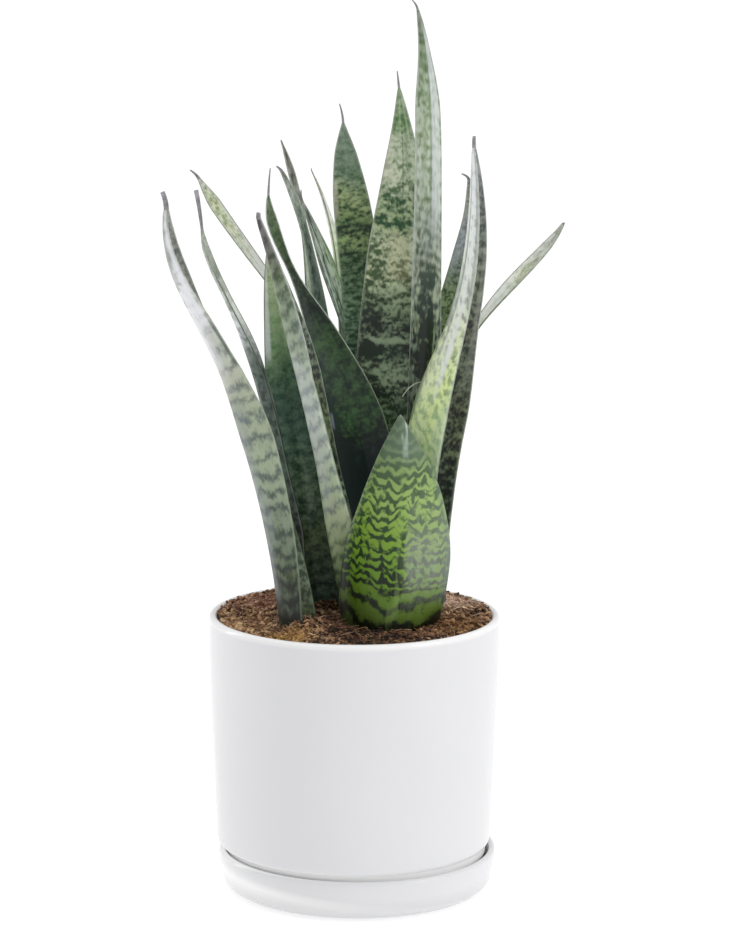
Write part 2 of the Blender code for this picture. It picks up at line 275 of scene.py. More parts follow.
# the foot was trimmed a little off centre, so that it stands in the middle of the saucer
for vertex in pot.data.vertices:
    below = min(1.0, max(0.0, (FOOT_FROM_Z - vertex.co.z / MM) / FOOT_EASE))
    vertex.co.x += FOOT_OFF_CENTRE * MM * below

# %% Saucer
SAUCER_X = 1.8

saucer_outline = [(0.0, 4.0), (60.5, 4.0), (63.2, 4.5), (65.5, 5.9), (66.9, 8.4), (67.8, 11.5), (68.6, 15.5)]
saucer_outline += arc((71.1, 19.6), 1.7, 172, 10, 14)  # the rim
saucer_outline += smooth_run([(72.88, 18.2), (72.7, 16.0), (71.9, 12.3), (70.75, 6.8)], 6)
saucer_outline += arc((63.2, 7.6), 7.6, -10, -90, 14)  # the round edge underneath
saucer_outline += [(0.0, 0.0)]
saucer = turned_piece("saucer_glazed", saucer_outline, closed=False, centre_x=SAUCER_X)

# %% [markdown]
# ## White glaze
#
# The pot is earthenware under a white tin glaze, fired glossy. Glaze is glass, so its
# reflection is sharp over a white body, with a slow unevenness of about twenty
# millimetres where it ran, and a fine one of about a millimetre. The base colour
# stays just under white, because a real glaze gives back about four fifths of the light.
# On top of the lip, inside the saucer and round the pot's foot the glaze is painted whiter, as painted light
# where shade falls. Low down near the floor it is painted greyer, as painted shade.

# %% Glaze material
RUNS, PEEL, CLOUDS = 20.0 * MM, 1.2 * MM, 45.0 * MM   # sizes of unevenness
RUNS_H, PEEL_H = 2.0 * MM, 0.3 * MM
DISH_R = 70.5 * MM
LIP_FROM_Z, LIP_FADE = 142.5 * MM, 2.5 * MM
PAINTED_SHADE_BELOW_Z = 11.0 * MM

glaze, tree = new_material("white tin glaze")
spot = put(tree, "ShaderNodeTexCoord", out="Object")
runs = put(tree, "ShaderNodeTexNoise", {"Vector": spot, "Scale": 1 / RUNS, "Detail": 2.0})
peel = put(tree, "ShaderNodeTexNoise", {"Vector": spot, "Scale": 1 / PEEL, "Detail": 1.0})
cloud = put(tree, "ShaderNodeTexNoise", {"Vector": spot, "Scale": 1 / CLOUDS, "Detail": 3.0})
body = put(tree, "ShaderNodeMixRGB", {0: cloud, 1: linear("e1e1e3"), 2: linear("e6e6e8")})
from_axis = put(tree, "ShaderNodeVectorMath", {0: spot, 1: (1.0, 1.0, 0.0)}, operation="MULTIPLY")
from_axis = put(tree, "ShaderNodeVectorMath", {0: from_axis}, out=1, operation="LENGTH")
# Painted light: within this radius of the axis, on the saucer and the pot's foot, and on the lip, the glaze
# is painted whiter where shade falls.
painted_light_in_saucer = put(tree, "ShaderNodeMapRange", {0: from_axis, 1: DISH_R + MM, 2: DISH_R})
height = put(tree, "ShaderNodeSeparateXYZ", {0: spot}, out="Z")
painted_light_lip_and_saucer = put(tree, "ShaderNodeMapRange", {0: height, 1: LIP_FROM_Z, 2: LIP_FROM_Z + LIP_FADE,
                                          3: painted_light_in_saucer, 4: 1.0})
body = put(tree, "ShaderNodeMixRGB", {0: painted_light_lip_and_saucer, 1: body, 2: linear("fafafa")})
# Painted shade: below this height the glaze is painted greyer towards the floor.
painted_shade_near_floor = put(tree, "ShaderNodeMapRange", {0: height, 1: PAINTED_SHADE_BELOW_Z, 2: 1.0 * MM})
body = put(tree, "ShaderNodeMixRGB", {0: painted_shade_near_floor, 1: body, 2: linear("d6d6d8")})
slow = put(tree, "ShaderNodeBump", {"Height": runs, "Strength": 0.05, "Distance": RUNS_H})
fine = put(tree, "ShaderNodeBump", {"Height": peel, "Strength": 0.02, "Distance": PEEL_H, "Normal": slow})
gloss = put(tree, "ShaderNodeMapRange", {"Value": runs, "To Min": 0.10, "To Max": 0.20})
shader = put(tree, "ShaderNodeBsdfPrincipled", {"Base Color": body, "Roughness": gloss, "IOR": 1.5,
                                                "Normal": fine})
put(tree, "ShaderNodeOutputMaterial", {"Surface": shader})
for piece, node in ((pot, "pot"), (saucer, "saucer")):
    piece.data.materials.append(glaze)
    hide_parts(node)
    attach(piece, "root")
print("nodes in the glaze:", len(tree.nodes))

# %% [markdown]
# ## The shape of a blade
#
# A zeylanica blade is a firm strip, folded lengthwise and thickest along its keel. It
# narrows to a neck and ends in a short hard point. A blade is given by the same few
# sizes as in the source: five control points of its spine, the end of its point, its width
# at eight places, where its hollow side faces, how far its halves fold up, and how wide
# its point ends. Sections are worked out along the spine and skinned, which a curve with
# one bevel could not do, because the fold opens and the facing turns on the way up.

# %% Sizes of every blade, mm and degrees
WIDTH_AT = [0.0, 0.12, 0.30, 0.50, 0.70, 0.85, 0.94, 1.0]
BLADES = {
    "leaf_01": dict(spine=[(20, -30, 108), (10, -32, 153), (31, -34, 191), (23, -38, 223), (23, -42, 257)],
                    tip=(23, -42, 258), width=[32, 52, 71, 65, 48, 28, 12.5, 1.8],
                    face=[90, 90, 89, 88], fold=[80, 48, 36], end=0.4),
    "leaf_02": dict(spine=[(-28, -32, 108), (-29, -34, 214), (-67, -35, 310), (-94, -36, 311),
                           (-95, -38, 361)],
                    tip=(-97, -38, 370), width=[34, 40.5, 40, 40.5, 20, 19, 12, 3.4],
                    face=[-31, 2, 28, -28], fold=[86, 57, 73], end=2.8),
    "leaf_03": dict(spine=[(-5, -6, 108), (15, -8, 152), (-19, -12, 196), (-8, -18, 244), (-49, -22, 355)],
                    tip=(-49, -22, 358), width=[30, 36, 38.5, 29, 29, 18.5, 8.5, 3.6],
                    face=[-3, 4, -9, 12], fold=[85, 64, 68], end=3.0),
    "leaf_04": dict(spine=[(37, -8, 108), (31, -8, 246), (37, -8, 272), (69, -9, 291), (60, -8, 390)],
                    tip=(60, -8, 396), width=[19.5, 35.5, 51.5, 61, 32, 21, 11.5, 2.8],
                    face=[-12, -21, -20, -16], fold=[84, 82, 65], end=2.2),
    "leaf_05": dict(spine=[(13, 8, 108), (14, 12, 196), (12, 15, 273), (-46, 14, 323), (-45, 6, 364)],
                    tip=(-44, 6, 378), width=[21.5, 29, 34.5, 32.5, 16.5, 4, 6, 1.1],
                    face=[-80, -79, -77, -74], fold=[52, 30, 30], end=0.3),
    "leaf_06": dict(spine=[(-24, 2, 108), (-43, 3, 205), (-28, 2, 278), (-75, 2, 308), (-79, 0, 347)],
                    tip=(-82, 0, 367), width=[21, 30, 35.5, 18.5, 14.5, 6, 5.5, 1.6],
                    face=[-14, 10, -2, -39], fold=[82, 71, 61], end=2.8),
    "leaf_07": dict(spine=[(34, 14, 108), (38, 13, 213), (32, 12, 314), (44, 8, 402), (31, 4, 459)],
                    tip=(28, 4, 464), width=[18, 21, 21.5, 17.5, 15, 13.5, 6, 1.1],
                    face=[90, 91, 93, 96], fold=[70, 35, 30], end=0.3),
    "leaf_08": dict(spine=[(-14, 22, 108), (-21, 23, 164), (-27, 23, 220), (-36, 23, 276), (-46, 24, 332)],
                    tip=(-45, 24, 335), width=[19, 25.5, 31, 30.5, 26.5, 16.5, 8.5, 1.1],
                    face=[-75, -77, -79, -80], fold=[65, 35, 25], end=0.3),
    "leaf_09": dict(spine=[(18, 24, 108), (18, 24, 188), (15, 25, 266), (30, 28, 342), (22, 32, 417)],
                    tip=(21, 32, 426), width=[16, 26, 35.5, 42, 36.5, 22, 9.5, 1.1],
                    face=[-90, -91, -93, -95], fold=[65, 25, 20], end=0.3),
    "leaf_10": dict(spine=[(43, 24, 108), (56, 26, 201), (5, 30, 274), (88, 33, 310), (108, 36, 346)],
                    tip=(109, 36, 347), width=[13, 14.5, 14, 10.5, 4.5, 7.5, 6, 1.6],
                    face=[-150, -143, -137, -130], fold=[70, 45, 35], end=0.5),
    "leaf_11": dict(spine=[(2, 34, 108), (-3, 35, 191), (24, 36, 267), (-4, 39, 333), (-7, 44, 398)],
                    tip=(-9, 44, 408), width=[17.5, 25, 30, 28, 23, 19.5, 12, 1.1],
                    face=[-90, -89, -87, -86], fold=[65, 25, 20], end=0.3),
    "leaf_12": dict(spine=[(31, 40, 108), (25, 41, 177), (32, 40, 244), (60, 40, 307), (59, 40, 368)],
                    tip=(55, 40, 372), width=[15, 20.5, 24.5, 24.5, 19, 11, 4, 1.6],
                    face=[-100], fold=[60, 35, 25], end=0.5),
    "leaf_13": dict(spine=[(-16, 41, 108), (-6, 42, 184), (-17, 44, 258), (-14, 44, 326), (-39, 46, 372)],
                    tip=(-42, 46, 375), width=[15, 17.5, 18, 15, 9, 4.5, 4, 1.6],
                    face=[-60, -61, -63, -64], fold=[70, 40, 30], end=0.5),
    "leaf_14": dict(spine=[(15, 47, 108), (20, 48, 170), (12, 50, 232), (-2, 50, 295), (-28, 52, 355)],
                    tip=(-29, 52, 362), width=[15, 17.5, 17.5, 13, 5.5, 8.5, 4.5, 1.1],
                    face=[-80], fold=[70, 40, 30], end=0.3),
    "leaf_15": dict(spine=[(-22, 50, 108), (-16, 54, 179), (-21, 58, 249), (-16, 62, 318), (-39, 66, 384)],
                    tip=(-40, 66, 387), width=[14.5, 16.5, 17.5, 16, 10.5, 4, 4, 1.1],
                    face=[-60], fold=[70, 45, 35], end=0.3),
    "leaf_16": dict(spine=[(-3, 51, 108), (0, 56, 182), (-9, 60, 252), (3, 63, 316), (-23, 66, 369)],
                    tip=(-24, 66, 372), width=[14.5, 16, 17.5, 18, 17.5, 10.5, 4, 1.1],
                    face=[-60, -47, -30, -10], fold=[60, 40, 25], end=0.3),
    "leaf_17": dict(spine=[(13, 60, 108), (-8, 66, 177), (31, 72, 241), (-46, 77, 300), (-84, 84, 364)],
                    tip=(-89, 84, 369), width=[15, 16.5, 15.5, 11, 4, 6.5, 7, 1.6],
                    face=[-40, -50, -60, -70], fold=[70, 45, 30], end=0.5),
}
print("blades:", len(BLADES))


# %% Spine, width and facing along a blade
SPINE_SAMPLES = 401


def bezier(points, t):
    """Points of a Bezier curve with any number of control points."""
    row = [np.repeat(np.array(p, float)[None], len(t), 0) for p in points]
    t = t[:, None]
    while len(row) > 1:
        row = [(1 - t) * a + t * b for a, b in zip(row, row[1:])]
    return row[0]


def monotone(x, xs, ys):
    """Smooth curve through the points that never swings past them."""
    xs, ys = np.array(xs, float), np.array(ys, float)
    gaps = np.diff(xs)
    slopes = np.diff(ys) / gaps
    turns = np.zeros(len(ys))
    turns[0], turns[-1] = slopes[0], slopes[-1]
    for i in range(1, len(slopes)):
        if slopes[i - 1] * slopes[i] > 0:
            a, b = 2 * gaps[i] + gaps[i - 1], gaps[i] + 2 * gaps[i - 1]
            turns[i] = (a + b) / (a / slopes[i - 1] + b / slopes[i])
    k = np.clip(np.searchsorted(xs, x, side="right") - 1, 0, len(gaps) - 1)
    t = (x - xs[k]) / gaps[k]
    rise = ys[k] * (1 + 2 * t) * (1 - t) ** 2 + ys[k + 1] * t * t * (3 - 2 * t)
    return rise + gaps[k] * (turns[k] * t * (1 - t) ** 2 + turns[k + 1] * t * t * (t - 1))


def blend(x, values):
    """Straight blend of evenly spaced values, x from 0 to 1."""
    return np.interp(x, np.linspace(0, 1, len(values)), values)


def spine_points(blade, s):
    """Centre line and its length: s from 0 to 1 is the blade, 1 to 2 its firm point."""
    fine = np.linspace(0, 1, SPINE_SAMPLES)
    line = bezier(blade["spine"], fine)
    length = np.concatenate([[0], np.cumsum(np.linalg.norm(np.diff(line, axis=0), axis=1))])
    on_blade = bezier(blade["spine"], np.interp(np.clip(s, 0, 1) * length[-1], length, fine))
    neck, tip = np.array(blade["spine"][-1], float), np.array(blade["tip"], float)
    along = neck - np.array(blade["spine"][-2], float)
    middle = neck + along / np.linalg.norm(along) * np.linalg.norm(tip - neck) * 0.5
    v = np.clip(s - 1, 0, 1)[:, None]
    on_point = (1 - v) ** 2 * neck + 2 * (1 - v) * v * middle + v * v * tip
    return np.where((s > 1)[:, None], on_point, on_blade), length[-1]


def blade_frames(blade, s):
    """Centre, across and facing directions at each section."""
    step = 0.002
    centre, length = spine_points(blade, s)
    before, after = (spine_points(blade, np.clip(s + way, 0, 2))[0] for way in (-step, step))
    along = after - before
    along /= np.linalg.norm(along, axis=1)[:, None]
    angle = np.radians(blend(np.clip(s, 0, 1), blade["face"]))
    face = np.stack([np.cos(angle), np.sin(angle), np.zeros_like(angle)], -1)
    face -= (face * along).sum(1)[:, None] * along
    face /= np.linalg.norm(face, axis=1)[:, None]
    return centre, np.cross(along, face), face, length


# %% [markdown]
# A section has an outer side, which is the back of the leaf, an inner side, and a
# rounded margin at each end. The halves turn up quickly at the keel and then run almost
# straight to the margin, as in the real blade, so the slope grows with the square root of
# the distance from the keel. Each vertex also keeps where it lies on the blade:
# millimetres across and along go to a UV map that the patterns read.

# %% Skin of a blade
KEEL_T, MARGIN_T, POINT_T = 2.2, 0.9, 0.5
THICK_TO_HALF = 0.9   # a narrow blade is as thick as this much of its half width
RIM_ROUND = 0.8       # how far the rounded margin stands out, in half thicknesses
POINT_RUN = 6.0       # mm of pattern along the firm point
FINE = 8              # slices of each step in which the curve of a section is summed


def blade_skin(blade, s, half_steps=14):
    """Ring points (sections, points, 3) and each point's place (across mm, side)."""
    centre, across_dir, face_dir, length = blade_frames(blade, s)
    width = monotone(np.clip(s, 0, 1), WIDTH_AT, blade["width"])
    on_point = np.clip(s - 1, 0, 1)
    width = np.where(s > 1, blade["width"][-1] + (blade["end"] - blade["width"][-1]) * on_point, width)
    half = width / 2
    thick = np.minimum(KEEL_T, np.maximum(THICK_TO_HALF * half, POINT_T))
    margin = np.minimum(MARGIN_T, thick)
    turn = np.radians(blend(np.clip(s, 0, 1), blade["fold"]))
    fine = FINE * half_steps
    t_fine = np.linspace(0, 1, fine + 1)
    slope = turn[:, None] * np.sqrt(t_fine)[None]
    x, y = (np.concatenate([np.zeros((len(s), 1)), np.cumsum((run[:, 1:] + run[:, :-1]) / 2 / fine, 1)], 1)
            for run in (np.cos(slope), np.sin(slope)))
    x, y, slope = x[:, ::FINE] * half[:, None], y[:, ::FINE] * half[:, None], slope[:, ::FINE]
    t = np.linspace(0, 1, half_steps + 1)
    tau = (margin[:, None] + (thick - margin)[:, None] * (1 - t ** 2)[None]) / 2
    y = y - y[:, -1:] / 2
    x, y, slope, tau = (np.concatenate([sign * a[:, :0:-1], a], 1)
                        for a, sign in ((x, -1), (y, 1), (slope, -1), (tau, 1)))
    place = np.concatenate([-t[:0:-1], t])
    middle = np.stack([x, y], -1)
    outwards = np.stack([np.sin(slope), -np.cos(slope)], -1) * tau[..., None]
    rim = np.stack([np.cos(slope), np.sin(slope)], -1) * tau[..., None] * RIM_ROUND
    flat = np.concatenate([middle + outwards, middle[:, -1:] + rim[:, -1:], (middle - outwards)[:, ::-1],
                           middle[:, :1] - rim[:, :1]], 1)
    points = centre[:, None] + flat[..., :1] * across_dir[:, None] + flat[..., 1:] * face_dir[:, None]
    count = 2 * half_steps + 1
    where = np.concatenate([place, [1.0], place[::-1], [-1.0]])
    side = np.concatenate([np.zeros(count), [0.5], np.ones(count), [0.5]])
    along = np.where(s > 1, length + on_point * POINT_RUN, s * length)
    return points, where[None] * half[:, None], side, along, half


# %% Mesh of a blade
BLADE_REACH = 400.0   # mm that the ramps along a blade cover
UV_MM = 100.0         # mm in one unit of the UV map
SECTION_STEP = 1.6
CLOSER_AT_NECK = 1.06
POINT_SECTIONS = 8


def blade_stations(length):
    """Section places: even up the blade, closer at the neck and along the point."""
    on_blade = 1 - (1 - np.linspace(0, 1, int(length / SECTION_STEP))) ** CLOSER_AT_NECK
    return np.concatenate([on_blade, 1 + np.linspace(0, 1, POINT_SECTIONS + 1)[1:]])


def blade_mesh(name, blade):
    """Closed mesh of a blade with its UV map, material zones and attributes."""
    s = blade_stations(spine_points(blade, np.array([0.0]))[1])
    points, across, side, along, half = blade_skin(blade, s)
    rows, ring = points.shape[:2]
    verts = points.reshape(-1, 3) * MM
    faces, zone = [], []  # zones: 0 back, 1 face, 2 margin, 3 point
    for i in range(rows - 1):
        for j in range(ring):
            k = (j + 1) % ring
            faces.append((i * ring + j, i * ring + k, (i + 1) * ring + k, (i + 1) * ring + j))
            on_rim = 0.5 in (side[j], side[k])
            zone.append(3 if s[i] >= 1.0 else 2 if on_rim else int(side[j]))
    for i, order in ((0, 1), (rows - 1, -1)):
        cap = [i * ring + j for j in range(ring)]
        faces.append(tuple(cap[::-order]))
        zone.append(3 if i else 0)
    mesh = bpy.data.meshes.new(name)
    mesh.from_pydata(verts.tolist(), [], faces)
    mesh.polygons.foreach_set("material_index", zone)
    place = mesh.uv_layers.new(name="place")
    index = np.zeros(len(mesh.loops), int)
    mesh.loops.foreach_get("vertex_index", index)
    flat = np.stack([across.reshape(-1), np.repeat(along, ring)], -1)
    place.data.foreach_set("uv", (flat[index] / UV_MM).reshape(-1))
    for key, values in (("rim", half[:, None] - np.abs(across)), ("share", across / half[:, None]),
                        ("along", np.repeat(along / BLADE_REACH, ring)),
                        ("tipward", np.repeat(np.clip(s - 1, 0, 1), ring))):
        mesh.attributes.new(key, "FLOAT", "POINT").data.foreach_set("value", values.reshape(-1))
    mesh.shade_smooth()
    mesh.validate()
    return mesh


# %% [markdown]
# ## Leaf skins
#
# The waxy skin of zeylanica is pale green with irregular dark cross bands. The bands are
# broad and wavy near the soil, break into fine chains and specks higher up, and fade to
# plain green at the neck. Four things decide between pale and dark here, added up at each
# place: how dark the blade is on the whole at that height, a triangle wave along the blade,
# bent by noise, for the bands, specks and blots of noise, and dark lines round the cells.
# All sizes are millimetres on the blade: the UV map holds millimetres, divided by a hundred.
#
# The light that a glossy leaf sends back lies over its colour, so that much is taken off
# each hex value. Little light gets deep into the plant, so the skins are made paler there.

# %% Colours of wax skin
SHEEN = 0.022   # linear light that the gloss sends back
PALEST = 0.92   # no skin gives back more of the light than this


def skin_colour(hex_value, light=1.0):
    """The skin's own colour for one seen: more of it in the shade, and without its sheen."""
    seen = [c * light for c in linear(hex_value)[:3]]
    own = [max(0.5 * c, c - SHEEN) for c in seen]
    return (*[c / max(1.0, max(own) / PALEST) for c in own], 1.0)


def light_at(light, mm):
    """How much paler the skin is made at a height, from (mm, factor) stops."""
    places, factors = zip(*light)
    return float(np.interp(mm, places, factors))


# %% [markdown]
# Two small tools read a place on the blade. The first is noise that is stretched along the
# blade, as the cells of a leaf are. The second is a soft-edged window, for a patch that
# lies on one part of the blade only.

# %% Noise and windows on a blade
def clouds(tree, place, across, along, detail, shift):
    """Noise with its own size across and along the blade, in mm."""
    spread = put(tree, "ShaderNodeVectorMath", {0: place, 1: (1 / across, 1 / along, 0.0),
                                                2: (0.0, 0.0, shift)}, operation="MULTIPLY_ADD")
    return put(tree, "ShaderNodeTexNoise", {"Vector": spread, "Scale": 1.0, "Detail": detail})


def window(tree, place, across, along):
    """One inside four places across and four along the blade, and none outside."""
    rise, fall = (put(tree, "ShaderNodeMapRange", {
        6: place, 7: (across[start], along[start], 0.0), 8: (across[end], along[end], 1.0),
        9: (first,) * 3, 10: (last,) * 3}, out=1, data_type="FLOAT_VECTOR", interpolation_type="SMOOTHSTEP")
                  for start, end, first, last in ((0, 1, 0.0, 1.0), (2, 3, 1.0, 0.0)))
    both = put(tree, "ShaderNodeVectorMath", {0: rise, 1: fall}, operation="MULTIPLY")
    apart = put(tree, "ShaderNodeSeparateXYZ", {0: both}).node
    return put(tree, "ShaderNodeMath", {0: apart.outputs[0], 1: apart.outputs[1]}, operation="MULTIPLY")


# %% [markdown]
# The bands are a wave that counts turns along the blade. Slow noise makes the count sway,
# noise as wide as a scallop bends it, and fine noise frays it. Since the noise is much
# longer than it is wide, the scallops of one band repeat in the next, as on the real leaf.
# Where dark lines part one cell of the skin from the next, they follow the same scallops.

# %% Bands across a blade
SCALLOP_RUN = 2.4                 # a scallop's noise is this much longer than wide
FRAY_SIZE = (0.8, 3.0)
CURL_LOW, CURL_HIGH = 1.6, 4.0    # noise spans little of its range, so it is multiplied up
SWAY_UP, FRAY_UP = 4.0, 2.0
CELL_DRIFT, ROW_CURL = 14.0, 1.6
LINE_START, LINE_END = 0.02, 0.26
PALE_INSIDE = 0.3


def band_wave(tree, place, side, up, bend, period, low, slant, sway, cell, scallop, fray, shift):
    """The wave of the bands, from 0 on the pale to 0.5 on the dark, and the bent scallops."""
    wavy = clouds(tree, place, cell, cell * SCALLOP_RUN, 0.7, shift + 2.0)
    frayed = clouds(tree, place, *FRAY_SIZE, 2.0, shift + 4.0)
    turns = put(tree, "ShaderNodeMath", {0: up, 1: 1 / period}, operation="MULTIPLY")
    curl = scallop * CURL_HIGH
    if low:
        low_part = put(tree, "ShaderNodeMath", {0: up, 1: float(low[0])}, operation="MINIMUM")
        turns = put(tree, "ShaderNodeMath", {0: low_part, 1: 1 / low[1] - 1 / period, 2: turns},
                    operation="MULTIPLY_ADD")
        curl = put(tree, "ShaderNodeMapRange", {
            0: up, 1: low[0] - 4.0, 2: low[0] + 8.0, 3: scallop * CURL_LOW, 4: scallop * CURL_HIGH},
                   interpolation_type="SMOOTHSTEP")
    for value, factor in ((side, slant / period), (bend, sway * SWAY_UP), (wavy, curl),
                          (frayed, fray * FRAY_UP)):
        turns = put(tree, "ShaderNodeMath", {0: value, 1: factor, 2: turns}, operation="MULTIPLY_ADD")
    return put(tree, "ShaderNodeMath", {0: turns, 1: 0.5}, operation="PINGPONG"), wavy


def cell_lines(tree, side, up, bend, wavy, scales, shift):
    """Dark lines round cells: strength, size across and along, from where to where."""
    strength, across, along, start, end = scales
    drift = put(tree, "ShaderNodeMath", {0: bend, 1: CELL_DRIFT, 2: side}, operation="MULTIPLY_ADD")
    column = put(tree, "ShaderNodeMath", {0: drift, 1: 1 / across}, operation="MULTIPLY")
    level = put(tree, "ShaderNodeMath", {0: up, 1: 1 / along}, operation="MULTIPLY")
    row = put(tree, "ShaderNodeMath", {0: wavy, 1: ROW_CURL, 2: level}, operation="MULTIPLY_ADD")
    grid = put(tree, "ShaderNodeCombineXYZ", {0: column, 1: row, 2: shift})
    edge = put(tree, "ShaderNodeTexVoronoi", {"Vector": grid, "Scale": 1.0, "Randomness": 0.85},
               feature="DISTANCE_TO_EDGE", voronoi_dimensions="2D")
    line = put(tree, "ShaderNodeMapRange", {0: edge, 1: LINE_START, 2: LINE_END, 3: strength,
                                            4: -PALE_INSIDE * strength}, interpolation_type="SMOOTHSTEP")
    starts = put(tree, "ShaderNodeMapRange", {0: up, 1: start - 6.0, 2: start + 4.0, 4: line},
                 interpolation_type="SMOOTHSTEP")
    return put(tree, "ShaderNodeMapRange", {0: up, 1: end - 8.0, 2: end + 6.0, 3: starts, 4: 0.0},
               interpolation_type="SMOOTHSTEP")


# %% [markdown]
# Over the bands lie fine lengthwise veins, cloudy wax and a pale line at the margin. Veils and stripes tint
# windows of the blade. The near white and lilac ones are painted sheen and painted highlights where the
# blade catches the light, a few dark ones are painted shade, and the rest are tints of the skin. The relief
# is fine lengthwise ribs and the grain of the skin, with a soft waxy gloss.

# %% Skin material
SPREAD = 6.5           # noise keeps near its middle, so this spreads it to about -1 to 1
LEVEL_SWAY = 20.0      # mm that the colours by height sway up and down
WANDER = (9.0, 16.0)   # mm that patches, veils and stripes wander, across and along
RIB_H, GRAIN_H = 0.4 * MM, 0.2 * MM
GLOSSIEST, DULLEST = 0.30, 0.46


